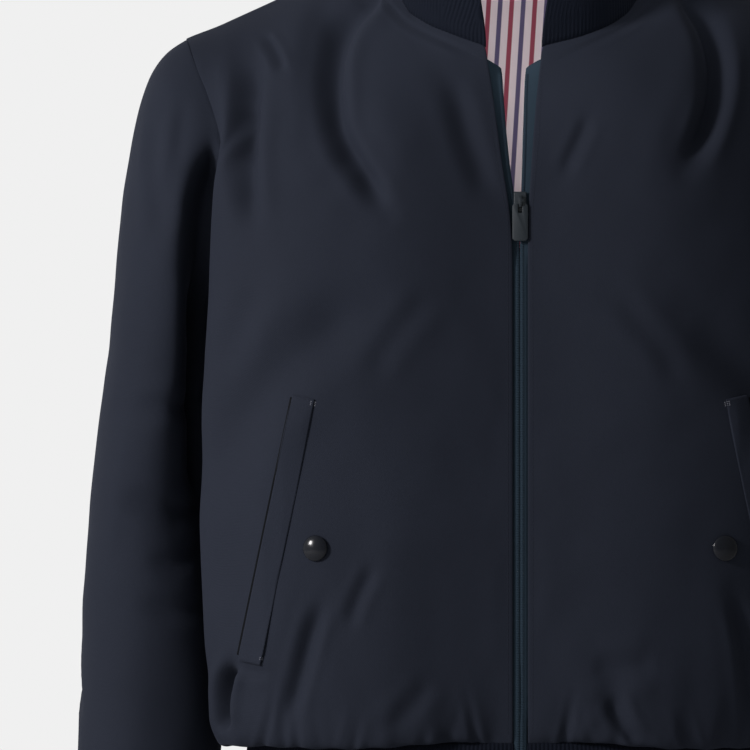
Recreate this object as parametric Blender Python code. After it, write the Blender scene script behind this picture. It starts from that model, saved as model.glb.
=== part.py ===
"""Bomber jacket, filled out as if it were worn, with nobody in it.

The front faces -Y, +Z is up and the wearer's right side is at -X.  The origin is the middle of the neck
hole, level with the points where the shoulder seams meet the collar.  Sizes and tables are in
millimetres; MM turns them into metres when a piece is made.  "Across" is the distance from the centre
plane towards a side, so one table serves both sides.
"""
import math

import bmesh
import bpy
import numpy as np
from mathutils import Matrix, Vector
from mathutils.bvhtree import BVHTree

MM = 0.001
RIGHT, LEFT = -1, 1              # the wearer's sides, as signs of X

# ------------------------------------------------------------------ driving sizes
CLOTH = 1.8                      # wall of the wool cloth with its backing
RIB = 3.0                        # wall of the doubled rib knit
LINING = 1.0                     # wall of the back lining
LINING_INSET = 8.8               # how far its outer side hangs inside the back's outer side
TAPE = 1.0                       # wall of a zip tape
SEAM_GAP = 0.3                   # between two pieces that are sewn together
WIDE_SEAM_GAP = 0.5              # twice what a sleeve, collar or band leaves where its seam twists
LIFT = 0.3                       # under a piece that lies on a panel
DEEPEST_CORNER = 2.4             # of a wall, where two pieces meet in a sharp crease

SHOULDER_TIP = (225.0, 8.0, -70.0)     # across, y, z: top of the armhole
NECK_POINT = (88.0, 5.0, -1.0)         # across, y, z: where the shoulder seam meets the collar
UNDERARM = (190.0, 8.0, -232.0)        # across, y, z: bottom of the armhole
ARMHOLE_DEPTH = 66.0                   # half the armhole's width from front to back
ARMHOLE_HOLLOW = 8.0                   # how far its front and back are drawn in towards the chest

HEM_ROW, UNDERARM_ROW, NECK_ROW, TOP_ROW = 0, 12, 17, 22     # rows of the front and back, hem upwards
FRONT_STATIONS = (0, 7, 13, 16, 18, 20)    # columns of the front: centre, mid, corner, bulge, tuck, seam
BACK_STATIONS = (0, 4, 8, 11, 13, 15)  # the same on each half of the back
RING = 20                              # points round a sleeve

COLLAR_HEIGHT = 60.0
BAND_BOTTOM = -600.0                   # lower edge of the hem band
CUFF_LENGTH = 62.0

SNAP_DIAMETER = 18.0
SNAP_HEIGHT = 3.4
WELT_WIDTH = 18.0
WELT_WALL = 1.8

# Sections of the front, one for each row that gives its shape.  The cloth stands out in a bulge in front
# of the arm and behind it, and is tucked in between them.
SECTION = ("row", "centre_y", "centre_z", "mid_x", "mid_y", "mid_z", "corner_x", "corner_y", "corner_z",
           "bulge_x", "bulge_y", "bulge_z", "tuck_x", "tuck_y", "tuck_z")
FRONT_SECTIONS = (
    (0, -131, -546, 100, -124, -545, 164, -88, -544, 186, -50, -543, 180, -24, -543),
    (1, -133, -539, 102, -132, -552, 172, -95, -551, 196, -54, -549, 188, -25, -549),
    (2, -135, -530, 103, -138, -544, 178, -100, -542, 204, -57, -540, 195, -27, -540),
    (3, -138, -514, 104, -141, -518, 182, -104, -516, 211, -59, -515, 200, -28, -515),
    (6, -141, -432, 105, -143, -430, 186, -107, -430, 218, -61, -430, 204, -29, -430),
    (9, -139, -334, 105, -142, -332, 186, -107, -331, 218, -62, -330, 200, -31, -330),
    (12, -133, -238, 103, -138, -236, 183, -104, -234, 213, -62, -232, 191.5, -33, -236),
    (13, -129, -212, 102.5, -136, -217, 181.5, -102.5, -219, 212.5, -63.5, -222, 193, -43, -228),
    (14, -124, -184, 101.5, -132, -194, 179.5, -100, -202, 211.5, -66, -210, 196, -53, -216),
    (15, -118, -154, 100, -126, -168, 177, -97, -183, 210.5, -70, -196, 201, -60, -199),
    (17, -86, -71.5, 92, -110, -112, 164, -92, -134, 202, -74, -147, 203.5, -66, -150),
    (18, -80, -64.5, 98, -92, -88, 157, -81, -109, 193, -67, -124, 200.5, -61, -125),
    (19, -69, -57.5, 105, -71, -68, 152, -65, -84, 189, -55, -99, 202, -51.5, -101),
    (20, -50, -48.5, 112, -49, -51, 153, -45, -64, 190, -38, -79, 206, -35.5, -82),
    (21, -24, -30, 117, -22, -32, 156, -19, -47, 191, -15, -62, 208, -14, -68),
    (22, 5, -1, 121, 5.7, -17.6, 157, 6.5, -35.7, 192, 7.3, -53.4, 208, 7.6, -61.4),
)
BACK_SECTIONS = (
    (0, 112, -546, 92, 110, -545, 158, 84, -544, 182, 48, -543, 179, 26, -543),
    (1, 122, -553, 95, 120, -552, 167, 92, -551, 192, 53, -549, 188, 28, -549),
    (2, 130, -545, 97, 129, -544, 174, 98, -542, 199, 56, -540, 194, 30, -540),
    (3, 134, -518, 98, 133, -517, 177, 102, -516, 203, 58, -515, 197, 31, -515),
    (6, 136, -431, 98, 136, -430, 178, 105, -430, 205, 60, -430, 199, 33, -430),
    (9, 132, -331, 99, 135, -331, 179, 106, -330, 204, 62, -330, 198, 35, -330),
    (12, 128, -233, 100, 132, -232, 179, 107, -232, 201, 66, -232, 191, 42, -237),
    (13, 127, -210, 100, 130.5, -211, 176, 107.5, -214, 198, 72, -220, 191.5, 53, -228),
    (14, 125.5, -186, 100, 128.5, -190, 173, 108, -196, 195, 78, -206, 192, 62, -216),
    (15, 123, -160, 100, 126, -165, 170, 108, -175, 192, 84, -190, 191.5, 73, -196),
    (17, 114, -110, 98, 117, -112, 158, 106, -125, 186, 90, -140, 193, 83, -146),
    (19, 100, -60, 95, 88, -56, 150, 82, -78, 188, 70, -93, 201, 66.5, -99),
    (20, 90, -34, 92, 62, -28, 152, 60, -58, 190, 52, -75, 205, 50, -81),
    (21, 78, -7, 89, 33, -12, 155, 33, -43, 191, 30, -60, 208, 29.5, -67),
    (22, 64, 18, 88, 5, -1, 157, 6.5, -35.7, 192, 7.3, -53.4, 208, 7.6, -61.4),
)
SIDE_SEAM = (                    # row, across, y, z
    (0, 174, 4, -543), (1, 181, 4, -549), (2, 187, 4, -540), (3, 190, 4, -515),
    (6, 192, 5, -430), (9, 191, 6, -330), (12, *UNDERARM),
)
FRONT_NECK_ACROSS = (            # row, across: the neckline from the collar's front edge to the neck point
    (18, 42), (19, 60), (20, 75), (21, 85), (22, 88),
)
BACK_NECK = (                    # across, y, z: the neckline from the centre back to the neck point
    (0, 64, 18), (30, 61, 17), (58, 50, 13), (78, 30, 7), NECK_POINT,
)

# The zip: how far the cloth's edge and the tape's inner edge lie from the centre plane, right and left.
ZIP_COLUMNS = ("z", "right_cloth", "right_tape", "left_cloth", "left_tape")
ZIP_EDGES = (
    (-600.0, 5.2, 0.15, 5.2, 0.15),
    (-191.0, 5.2, 0.15, 5.2, 0.15),
    (-177.0, 8.2, 3.6, 5.8, 0.5),
    (-158.0, 11.6, 7.0, 7.3, 1.2),
    (-135.0, 15.2, 9.5, 9.5, 2.0),
    (-107.0, 17.7, 11.0, 10.9, 2.7),
    (-83.0, 20.4, 12.2, 12.0, 3.9),
    (-71.5, 23.5, 13.6, 15.5, 4.8),
)
TAPE_UNDER = 8.5                 # how far a tape runs on behind the cloth's edge
TAPE_TOP_ROW = 16.75
TAPE_SINK = CLOTH + 0.8          # how far its face lies inside the cloth's face
SLIDER_Z = -178.0
TAPE_WIDENS = -527.0             # below this height a tape is only as wide as the gap in the hem band
BAND_EDGE = 5.2                  # across: the hem band's ends
BAND_TILT = 0.035                # how the zip leans back down the hem band

# A sleeve's rings, armhole to cuff seam: its outer and inner lines, its middle and half its depth in y,
# how far front and back are drawn in, and how far its inner front is drawn away from the body.
SLEEVE_COLUMNS = ("ring", "out_x", "out_z", "in_x", "in_z", "mid_y", "depth", "hollow", "cleft")
SLEEVE_RINGS = (
    (0, SHOULDER_TIP[0], SHOULDER_TIP[2], UNDERARM[0], UNDERARM[2], 8, ARMHOLE_DEPTH, ARMHOLE_HOLLOW, 0),
    (1, 240, -79, 192.5, -240, 8, 69, 5, 4),
    (2, 251, -97, 195.5, -248, 8, 71, 2, 12),
    (3, 258, -122, 198.5, -257, 8.5, 71, 0, 18),
    (5, 267, -172, 202, -281, 10, 70, 0, 15),
    (8, 279, -262, 205, -332, 13, 66, 0, 7),
    (11, 287, -352, 205.5, -392, 15, 61, 0, 3),
    (14, 293, -440, 206, -455, 12, 57, 0, 1),
    (17, 298, -528, 208, -532, 4, 54, 0, 0),
    (19, 300, -590, 211, -590, -4, 52, 0, 0),
    (20, 299, -622, 214, -622, -8, 49, 0, 0),
    (21, 293, -646, 221, -646, -10, 42, 0, 0),
    (22, 285, -652, 229, -652, -10, 33, 0, 0),
)
CLEFT_TURNS = (90, 108, 126, 144, 162, 180)     # degrees round a sleeve
CLEFT_SHARES = (0, 0.1, 0.65, 1.0, 0.8, 0)      # the share of its cleft there
SLEEVE_STATIONS = (0, 1, 2, 3, 4.4, 6, 7.8, 9.6, 11.4, 13.2, 15, 16.8, 18.4, 19.6, 20.5, 21.2, 22)
CUFF_FALL = (0.0, 12.0, CUFF_LENGTH)   # how far below the cuff seam its rings are
CUFF_EASE = (0.0, 1.5, 0.0)            # how far they swell

# The largest folds: side, half width, depth of the trough, height of the ridges beside it, and the
# trough's path in across and z.
FOLD_COLUMNS = ("side", "width", "depth", "ridge", "path")
FRONT_FOLDS = (
    (RIGHT, 9.5, 9.0, 3.0, ((106, -22), (129, -58), (136, -80), (133, -106), (129, -132), (116, -152),
                             (103, -168))),
    (RIGHT, 6.5, 5.0, 1.5, ((184, -80), (187, -99), (190, -119), (193, -138), (195, -165))),
    (RIGHT, 16.0, 5.5, 1.0, ((116, -258), (163, -286), (190, -323), (204, -357))),
    (RIGHT, 7.0, 3.0, 1.0, ((51, -93), (39, -119), (33, -145), (22, -168))),
    (RIGHT, 8.0, 4.0, 1.5, ((107, -428), (120, -450), (125, -462))),
    (RIGHT, 9.0, 6.0, 2.0, ((140, -454), (150, -488), (156, -511), (164, -527))),
    (LEFT, 9.0, 7.0, 3.0, ((112, -30), (130, -62), (134, -95), (125, -130), (110, -152))),
    (LEFT, 6.5, 4.0, 1.5, ((183, -86), (188, -112), (192, -140))),
    (LEFT, 16.0, 4.5, 1.0, ((120, -270), (160, -300), (192, -345))),
    (LEFT, 7.0, 2.5, 1.0, ((43, -125), (33, -145), (22, -162))),
    (LEFT, 9.0, 5.0, 2.0, ((55, -496), (63, -517), (73, -538))),
    (LEFT, 9.0, 5.0, 2.0, ((150, -440), (158, -480), (160, -520))),
)
BACK_FOLDS = (
    (RIGHT, 9.0, 5.5, 3.0, ((178, -120), (160, -165), (128, -205), (98, -225))),
    (LEFT, 9.0, 5.0, 3.0, ((180, -128), (158, -178), (120, -222))),
    (RIGHT, 11.0, 4.0, 1.5, ((150, -330), (118, -395), (104, -470))),
    (LEFT, 11.0, 4.5, 1.5, ((146, -350), (122, -420), (116, -500))),
    (RIGHT, 10.0, 4.0, 1.5, ((40, -420), (34, -470), (30, -525))),
    (LEFT, 10.0, 3.5, 1.0, ((52, -440), (58, -490), (60, -528))),
)
# On a sleeve a path runs in degrees round it (0 outside, 90 front, 180 inside) and in z.
SLEEVE_FOLDS = (
    (RIGHT, 8.0, 4.0, 1.5, ((52, -120), (70, -160), (80, -205))),
    (RIGHT, 9.0, 5.0, 2.0, ((165, -300), (110, -322), (62, -318))),
    (RIGHT, 9.0, 6.0, 2.5, ((176, -378), (120, -392), (66, -376))),
    (RIGHT, 9.0, 5.0, 2.0, ((172, -436), (126, -462), (82, -452))),
    (RIGHT, 9.0, 5.0, 2.0, ((20, -560), (58, -584), (104, -586))),
    (RIGHT, 9.0, 5.0, 2.0, ((206, -566), (256, -590), (310, -580))),
    (LEFT, 8.0, 4.0, 1.5, ((55, -126), (72, -170), (78, -215))),
    (LEFT, 9.0, 5.0, 2.0, ((168, -310), (116, -330), (70, -322))),
    (LEFT, 9.0, 6.0, 2.5, ((174, -388), (118, -398), (60, -388))),
    (LEFT, 9.0, 5.0, 2.0, ((170, -450), (120, -470), (74, -462))),
    (LEFT, 9.0, 5.0, 2.0, ((30, -570), (70, -590), (112, -584))),
)
HEM_GATHER = {1: 2.0, 2: 2.0, 3: 0.8}  # row: height of the gathers there
CUFF_GATHER = {13: 0.8, 14: 1.8, 15: 2.2}   # ring: height of the gathers there

WELT_TOP = (146.2, -310.8)             # across, z: middle of the welt's ends
WELT_BOTTOM = (183.9, -491.8)
SNAP_PLACE = (139.0, -413.4)           # across, z

COLOURS = {
    "wool_cloth": (0.024, 0.028, 0.040, 0.85, 0.0),
    "rib_knit": (0.008, 0.011, 0.020, 0.95, 0.0),
    "zip_tape": (0.012, 0.026, 0.036, 0.8, 0.0),
    "dark_metal": (0.015, 0.016, 0.019, 0.5, 0.3),
    "glossy_black": (0.006, 0.006, 0.008, 0.12, 0.0),
    "striped_lining": (0.52, 0.44, 0.47, 0.8, 0.0),
}                                      # red, green, blue, roughness, metallic


# ------------------------------------------------------------------ curves and grids
def curve_through(places, values, at):
    """Smooth curve through values that are given at places, read at the numbers in at."""
    places = np.asarray(places, float)
    values = np.asarray(values, float)
    at = np.asarray(at, float)
    shape = (-1,) + (1,) * (values.ndim - 1)
    gaps = np.diff(places).reshape(shape)
    steps = np.diff(values, axis=0) / gaps
    slopes = np.empty_like(values)
    slopes[0], slopes[-1] = steps[0], steps[-1]
    slopes[1:-1] = (steps[:-1] * gaps[1:] + steps[1:] * gaps[:-1]) / (gaps[1:] + gaps[:-1])
    index = np.clip(np.searchsorted(places, at, side="right") - 1, 0, len(places) - 2)
    gap = gaps[index]
    part = ((at - places[index]).reshape(shape)) / gap
    rise = part * part * (3 - 2 * part)
    return (values[index] * (1 - rise) + values[index + 1] * rise
            + gap * slopes[index] * part * (1 - part) ** 2
            - gap * slopes[index + 1] * part * part * (1 - part))


def straight_through(table, column, at):
    """A named column of the zip's table, read between its rows."""
    index = ZIP_COLUMNS.index(column)
    return np.interp(at, [row[0] for row in table], [row[index] for row in table])


def unit(vectors):
    """The same directions, one long."""
    length = np.linalg.norm(vectors, axis=-1, keepdims=True)
    return vectors / np.maximum(length, 1e-9)


def section_rows(table, count):
    """Every row's stations but the seam, from a table of sections: count x 5 x 3."""
    rows = np.array(table, float)
    read = curve_through(rows[:, 0], rows[:, 1:], np.arange(count))
    centre = np.stack([np.zeros(count), read[:, 0], read[:, 1]], axis=1)
    return np.concatenate([centre[:, None], read[:, 2:].reshape(count, -1, 3)], axis=1)


def armhole(degrees):
    """A point of the armhole: 0 at the shoulder tip, 90 at the front, 180 under the arm."""
    top, bottom = np.array(SHOULDER_TIP), np.array(UNDERARM)
    turn = math.radians(degrees)
    point = (top + bottom) / 2 + math.cos(turn) * (top - bottom) / 2
    point[0] -= ARMHOLE_HOLLOW * math.sin(turn) ** 2
    point[1] -= ARMHOLE_DEPTH * math.sin(turn)
    return point


def seam_line(towards_back):
    """The side seam and then the armhole, for every row: across, y, z."""
    seam = np.array(SIDE_SEAM, float)
    below = curve_through(seam[:, 0], seam[:, 1:], np.arange(UNDERARM_ROW))
    step = 180.0 / (TOP_ROW - UNDERARM_ROW)
    sense = -1 if towards_back else 1
    above = [armhole(sense * (180.0 - step * k)) for k in range(TOP_ROW - UNDERARM_ROW + 1)]
    return np.vstack([below, np.array(above)])


def trough(distance, width, depth, ridge):
    """Height of a fold at a distance from its middle line: a trough between two low ridges."""
    middle = np.exp(-(distance / width) ** 2)
    beside = np.exp(-((distance - 2.0 * width) / (0.9 * width)) ** 2)
    return ridge * beside - depth * middle


def fold_heights(places, folds, side):
    """Sum of the folds of one side at places in a plane."""
    heights = np.zeros(len(places))
    for fold_side, width, depth, ridge, path in folds:
        if fold_side != side:
            continue
        path = np.array(path, float)
        starts, runs = path[:-1], np.diff(path, axis=0)
        lengths = np.linalg.norm(runs, axis=1)
        offsets = places[:, None, :] - starts[None]
        along = np.clip((offsets * runs[None]).sum(2) / lengths ** 2, 0, 1)
        apart = np.linalg.norm(offsets - along[..., None] * runs[None], axis=2)
        nearest = apart.argmin(axis=1)
        row = np.arange(len(places))
        travelled = np.concatenate([[0], np.cumsum(lengths)])
        run = (travelled[nearest] + along[row, nearest] * lengths[nearest]) / travelled[-1]
        swell = np.sqrt(np.clip(np.sin(np.pi * np.clip(0.06 + 0.88 * run, 0, 1)), 0, 1))
        heights += swell * trough(apart[row, nearest], width, depth, ridge)
    return heights


def edge_fade(rows, columns, reach, keep_first_column=False):
    """0 on a grid's edges and 1 from reach cells inwards, so that seams stay where they are."""
    down = np.minimum(np.arange(rows), np.arange(rows)[::-1])
    over = np.arange(columns)[::-1] if keep_first_column else np.minimum(
        np.arange(columns), np.arange(columns)[::-1])
    return np.clip(down / reach, 0, 1)[:, None] * np.clip(over / reach, 0, 1)[None]


def grid_normals(points, closed=False):
    """Normals of a grid of points, rows x columns x 3; closed joins its last column to its first."""
    if closed:
        points = np.concatenate([points, points[:, :1]], axis=1)
    diagonal_a = points[1:, 1:] - points[:-1, :-1]
    diagonal_b = points[1:, :-1] - points[:-1, 1:]
    faces = np.cross(diagonal_a, diagonal_b)
    normals = np.zeros_like(points)
    normals[:-1, :-1] += faces
    normals[1:, :-1] += faces
    normals[:-1, 1:] += faces
    normals[1:, 1:] += faces
    if closed:
        normals[:, 0] += normals[:, -1]
        normals = normals[:, :-1]
    return unit(normals)


class Sheet:
    """A piece of cloth as a grid of outer points, whose wall is laid inside them."""

    def __init__(self, name, points, wall, outward, closed=False, free=(), gap=SEAM_GAP, linked=False):
        self.name = name
        self.gap = gap
        self.linked = linked                   # every second point of its first row is between seam points
        self.points = points
        self.wall = wall
        self.closed = closed
        self.free = free                       # edges that no seam joins: first/last row/column
        self.normals = grid_normals(points, closed)
        if (self.normals * outward(points)).sum() < 0:
            self.points = points[:, ::-1].copy()
            self.normals = grid_normals(self.points, closed)
            self.free = tuple({"first_column": "last_column", "last_column": "first_column"}.get(e, e)
                              for e in free)
        self.depths = self.normals.copy()      # how a wall of 1 is laid inside each point

    def seam_mask(self):
        mask = np.zeros(self.points.shape[:2], bool)
        edges = {"first_row": (0, slice(None)), "last_row": (-1, slice(None))}
        if not self.closed:
            edges.update(first_column=(slice(None), 0), last_column=(slice(None), -1))
        for name, place in edges.items():
            if name not in self.free:
                mask[place] = True
        return mask

    def pulled_back(self):
        """How each point moves away from its seams: square to the wall's end, towards the sheet."""
        shift = np.zeros_like(self.points)
        for axis, ends in ((0, ("first_row", "last_row")), (1, ("first_column", "last_column"))):
            if axis == 1 and self.closed:
                continue
            for end, name in zip((0, -1), ends):
                if name in self.free:
                    continue
                next_in = 1 if end == 0 else -2
                pick = (end, slice(None)) if axis == 0 else (slice(None), end)
                inner = (next_in, slice(None)) if axis == 0 else (slice(None), next_in)
                line = self.points[pick]
                if self.closed:
                    along = np.roll(line, -1, axis=0) - np.roll(line, 1, axis=0)
                else:
                    along = np.gradient(line, axis=0)
                inwards = unit(np.cross(self.depths[pick], along))
                towards = self.points[inner] - line
                inwards *= np.sign((inwards * towards).sum(axis=1, keepdims=True))
                shift[pick] += self.gap / 2 * inwards
        if self.linked:
            shift[0, 1::2] = (shift[0, :-1:2] + shift[0, 2::2]) / 2
        return shift


def share_depths(sheets):
    """Give pieces that share a seam's point one wall direction there, so their walls meet and don't cross."""
    found = {}
    for sheet in sheets:
        for row, column in zip(*np.nonzero(sheet.seam_mask())):
            key = tuple(np.round(sheet.points[row, column], 2))
            found.setdefault(key, []).append((sheet, row, column))
    for owners in found.values():
        normals = np.array([sheet.normals[row, column] for sheet, row, column in owners])
        depth = np.linalg.pinv(normals, rcond=0.01) @ np.ones(len(normals))
        depth *= min(1.0, DEEPEST_CORNER / np.linalg.norm(depth))
        place = owners[0][0].points[owners[0][1], owners[0][2]]
        if np.allclose(np.abs(place), np.abs(SHOULDER_TIP)):
            depth[1] = 0
        for sheet, row, column in owners:
            sheet.depths[row, column] = depth
    return found


def soften_neck(collar, found):
    """Turn the walls' directions gradually along the neckline, in every piece that ends there."""
    line = collar.depths[0, ::2].copy()
    for _pass in range(3):
        line[1:-1] = (line[:-2] + 2 * line[1:-1] + line[2:]) / 4
    for place, depth in zip(collar.points[0, ::2], line):
        for sheet, row, column in found[tuple(np.round(place, 2))]:
            sheet.depths[row, column] = depth
    collar.depths[0, 1::2] = (line[:-1] + line[1:]) / 2


def share_shoulder_depths(fronts, back):
    """Along the shoulder seams the front and back have different points, and one wall direction."""
    run = unit(np.array(SHOULDER_TIP) - np.array(NECK_POINT))
    upright = np.array([0.0, 0.0, 1.0])
    square = unit(upright - (upright @ run) * run) * 1.08
    for sheet in (*fronts, back):
        line = sheet.points[TOP_ROW]
        across = np.abs(line[:, 0])
        between = (across > NECK_POINT[0] + 0.5) & (across < SHOULDER_TIP[0] - 0.5)
        sides = np.sign(line[between, :1])
        sheet.depths[TOP_ROW, between] = np.concatenate(
            [sides * square[0], np.zeros_like(sides), np.full_like(sides, square[2])], axis=1)


# ------------------------------------------------------------------ making objects
def material(name):
    """A material of one finish."""
    if name in bpy.data.materials:
        return bpy.data.materials[name]
    red, green, blue, roughness, metallic = COLOURS[name]
    made = bpy.data.materials.new(name)
    made.use_nodes = True
    shader = made.node_tree.nodes["Principled BSDF"]
    shader.inputs["Base Color"].default_value = (red, green, blue, 1.0)
    shader.inputs["Roughness"].default_value = roughness
    shader.inputs["Metallic"].default_value = metallic
    made.diffuse_color = (red, green, blue, 1.0)
    return made


def make_object(name, points, faces, finish):
    """A mesh object from points in millimetres."""
    mesh = bpy.data.meshes.new(name)
    mesh.from_pydata([tuple(point * MM for point in place) for place in points], [], faces)
    mesh.update()
    mesh.materials.append(material(finish))
    mesh.shade_smooth()
    mesh.set_sharp_from_angle(angle=math.radians(40))
    made = bpy.data.objects.new(name, mesh)
    bpy.context.collection.objects.link(made)
    return made


def halves(first, second, third, fourth):
    """A four-sided face as two triangles, split the same way everywhere."""
    return [(first, second, third), (first, third, fourth)]


def grid_faces(rows, columns, closed=False):
    """Triangles of a grid of points; past its last column comes the first."""
    faces = []
    for row in range(rows - 1):
        for column in range(columns if closed else columns - 1):
            here, beyond = row * columns + column, row * columns + (column + 1) % columns
            faces += halves(here, beyond, beyond + columns, here + columns)
    return faces


def wall_faces(points, rows, columns, closed):
    """Faces of a closed wall: outer points first, then inner points, both rows x columns."""
    count = rows * columns
    last = count - columns
    rank = points @ (0.11, 0.37, 1.0)
    faces = grid_faces(rows, columns, closed)
    faces += [tuple(corner + count for corner in reversed(face)) for face in faces]

    def end_face(first, second):
        """The wall's end between two outer points; sewn pieces split it the same way, by place."""
        corners = (first, second, second + count, first + count)
        start = 0 if rank[first] > rank[second] else 1
        return halves(*(corners[(start + k) % 4] for k in range(4)))

    for column in range(columns if closed else columns - 1):
        beyond = (column + 1) % columns
        faces += end_face(beyond, column)
        faces += end_face(last + column, last + beyond)
    if not closed:
        for row in range(rows - 1):
            start, end = row * columns, row * columns + columns - 1
            faces += end_face(start, start + columns)
            faces += end_face(end + columns, end)
    return faces


def make_sheet(sheet, finish):
    """The closed solid of a sheet."""
    shift = sheet.pulled_back()
    outer = sheet.points + shift
    inner = sheet.points + shift - sheet.wall * sheet.depths
    rows, columns = outer.shape[:2]
    points = np.concatenate([outer.reshape(-1, 3), inner.reshape(-1, 3)])
    return make_object(sheet.name, points, wall_faces(points, rows, columns, sheet.closed), finish)


# ------------------------------------------------------------------ the body
def front_points(side):
    """The outer points of a front: rows from the hem up, columns from the zip to the side seam."""
    rows = TOP_ROW + 1
    stations = np.concatenate([section_rows(FRONT_SECTIONS, rows), seam_line(False)[:, None]], axis=1)
    cloth = "right_cloth" if side == RIGHT else "left_cloth"
    stations[:NECK_ROW + 1, 0, 0] = straight_through(ZIP_EDGES, cloth, stations[:NECK_ROW + 1, 0, 2])
    for row, across in FRONT_NECK_ACROSS:
        stations[row, 0, 0] = across
    columns = FRONT_STATIONS[-1] + 1
    grid = np.array([curve_through(FRONT_STATIONS, row, np.arange(columns)) for row in stations])
    start, end = np.array(NECK_POINT), np.array(SHOULDER_TIP)
    part = np.linspace(0, 1, columns)[:, None]
    grid[TOP_ROW] = start + (end - start) * part
    return grid


def back_half():
    """The outer points of half the back: rows from the hem up, columns from the centre to the side seam."""
    rows = TOP_ROW + 1
    stations = np.concatenate([section_rows(BACK_SECTIONS, rows), seam_line(True)[:, None]], axis=1)
    mirrored = stations[:, :0:-1] * (-1, 1, 1)
    whole = np.concatenate([mirrored, stations], axis=1)
    places = [-place for place in BACK_STATIONS[:0:-1]] + list(BACK_STATIONS)
    columns = BACK_STATIONS[-1] + 1
    grid = np.array([curve_through(places, row, np.arange(columns)) for row in whole])
    neck = BACK_STATIONS[1]
    grid[TOP_ROW, :neck + 1] = BACK_NECK
    start, end = np.array(NECK_POINT), np.array(SHOULDER_TIP)
    part = np.linspace(0, 1, columns - neck)[:, None]
    grid[TOP_ROW, neck:] = start + (end - start) * part
    return grid


def gathered(grid, normals, phase):
    """A grid with the gathers above its first row."""
    wave = np.where((np.arange(grid.shape[1]) + phase) % 2 == 0, 1.0, -1.0)
    wave[0] = wave[-1] = 0
    for row, height in HEM_GATHER.items():
        grid[row] += height * wave[:, None] * normals[row]
    return grid


def folded(grid, folds, side, fade):
    """A grid with its folds sunk into it along its normals."""
    normals = grid_normals(grid)
    forward = -1 if grid[:, :, 1].mean() < 0 else 1
    normals *= np.sign(normals[..., 1].mean()) * forward
    flat = grid.reshape(-1, 3)
    heights = fold_heights(np.abs(flat[:, [0]]) * (1, 0) + flat[:, [2]] * (0, 1), folds, side)
    moved = grid + (fade * heights.reshape(grid.shape[:2]))[..., None] * normals
    return gathered(moved, normals, 0 if side == RIGHT else 1)


def make_front(side):
    """One front, with its folds and the gathers over the hem band."""
    grid = front_points(side)
    fade = edge_fade(*grid.shape[:2], 2.0, keep_first_column=True)
    fade[:, 0] *= 0.5
    grid = folded(grid, FRONT_FOLDS, side, fade)
    grid = grid * (side, 1, 1)
    name = "front_right" if side == RIGHT else "front_left"
    return Sheet(name, grid, CLOTH, lambda points: np.array([0.0, -1.0, 0.0]), gap=WIDE_SEAM_GAP)


def whole_back(halves):
    """Both halves of the back as one grid, from the wearer's right to the left."""
    centre = (halves[RIGHT][:, :1] + halves[LEFT][:, :1]) / 2
    centre[..., 0] = 0
    right = halves[RIGHT][:, :0:-1] * (RIGHT, 1, 1)
    return np.concatenate([right, centre, halves[LEFT][:, 1:]], axis=1)


def make_back():
    """The back panel, with its folds and gathers."""
    half = back_half()
    fade = edge_fade(*half.shape[:2], 2.0, keep_first_column=True)
    grid = whole_back({side: folded(half.copy(), BACK_FOLDS, side, fade) for side in (RIGHT, LEFT)})
    return Sheet("back", grid, CLOTH, lambda points: np.array([0.0, 1.0, 0.0]), gap=WIDE_SEAM_GAP)


# ------------------------------------------------------------------ sleeves and cuffs
def sleeve_ring(values, degrees):
    """Points of one ring of a sleeve: across, y, z."""
    out_x, out_z, in_x, in_z, mid_y, depth, hollow, cleft = values
    turn = np.radians(degrees)
    middle = np.array([(out_x + in_x) / 2, mid_y, (out_z + in_z) / 2])
    half = np.array([(out_x - in_x) / 2, 0.0, (out_z - in_z) / 2])
    ring = middle + np.cos(turn)[:, None] * half
    ring[:, 0] += cleft * np.interp(degrees, CLEFT_TURNS, CLEFT_SHARES) - hollow * np.sin(turn) ** 2
    ring[:, 1] -= depth * np.sin(turn)
    return ring


def make_sleeve(side):
    """One sleeve, a tube from the armhole to the cuff seam, with its folds and gathers."""
    table = np.array(SLEEVE_RINGS, float)
    values = curve_through(table[:, 0], table[:, 1:], SLEEVE_STATIONS)
    degrees = np.arange(RING) * 360.0 / RING
    grid = np.array([sleeve_ring(row, degrees) for row in values])
    middle = grid.mean(axis=1, keepdims=True)
    outwards = unit(grid - middle)
    girth = 60.0
    places = np.stack([np.radians(np.tile(degrees, (len(grid), 1))) * girth, grid[..., 2]], axis=2)
    folds = tuple((fold_side, width, depth, ridge,
                   tuple((math.radians(turn) * girth, z) for turn, z in path))
                  for fold_side, width, depth, ridge, path in SLEEVE_FOLDS)
    heights = fold_heights(places.reshape(-1, 2), folds, side).reshape(grid.shape[:2])
    heights[:2] = 0
    heights[-1] = 0
    wave = np.where(np.arange(RING) % 2 == 0, 1.0, -1.0)
    for ring, height in CUFF_GATHER.items():
        heights[ring] += height * wave
    grid = (grid + heights[..., None] * outwards) * (side, 1, 1)
    name = "sleeve_right" if side == RIGHT else "sleeve_left"
    return Sheet(name, grid, CLOTH, lambda points: points - points.mean(axis=1, keepdims=True),
                 closed=True, gap=WIDE_SEAM_GAP)


def make_cuff(sleeve, side):
    """A rib cuff that hangs from the sleeve's last ring."""
    seam = sleeve.points[-1]
    outwards = unit((seam - seam.mean(axis=0)) * (1, 1, 0))
    grid = np.array([seam - (0, 0, fall) + ease * outwards for fall, ease in zip(CUFF_FALL, CUFF_EASE)])
    name = "cuff_right" if side == RIGHT else "cuff_left"
    return Sheet(name, grid, RIB, lambda points: points - points.mean(axis=1, keepdims=True),
                 closed=True, free=("last_row",))


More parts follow.
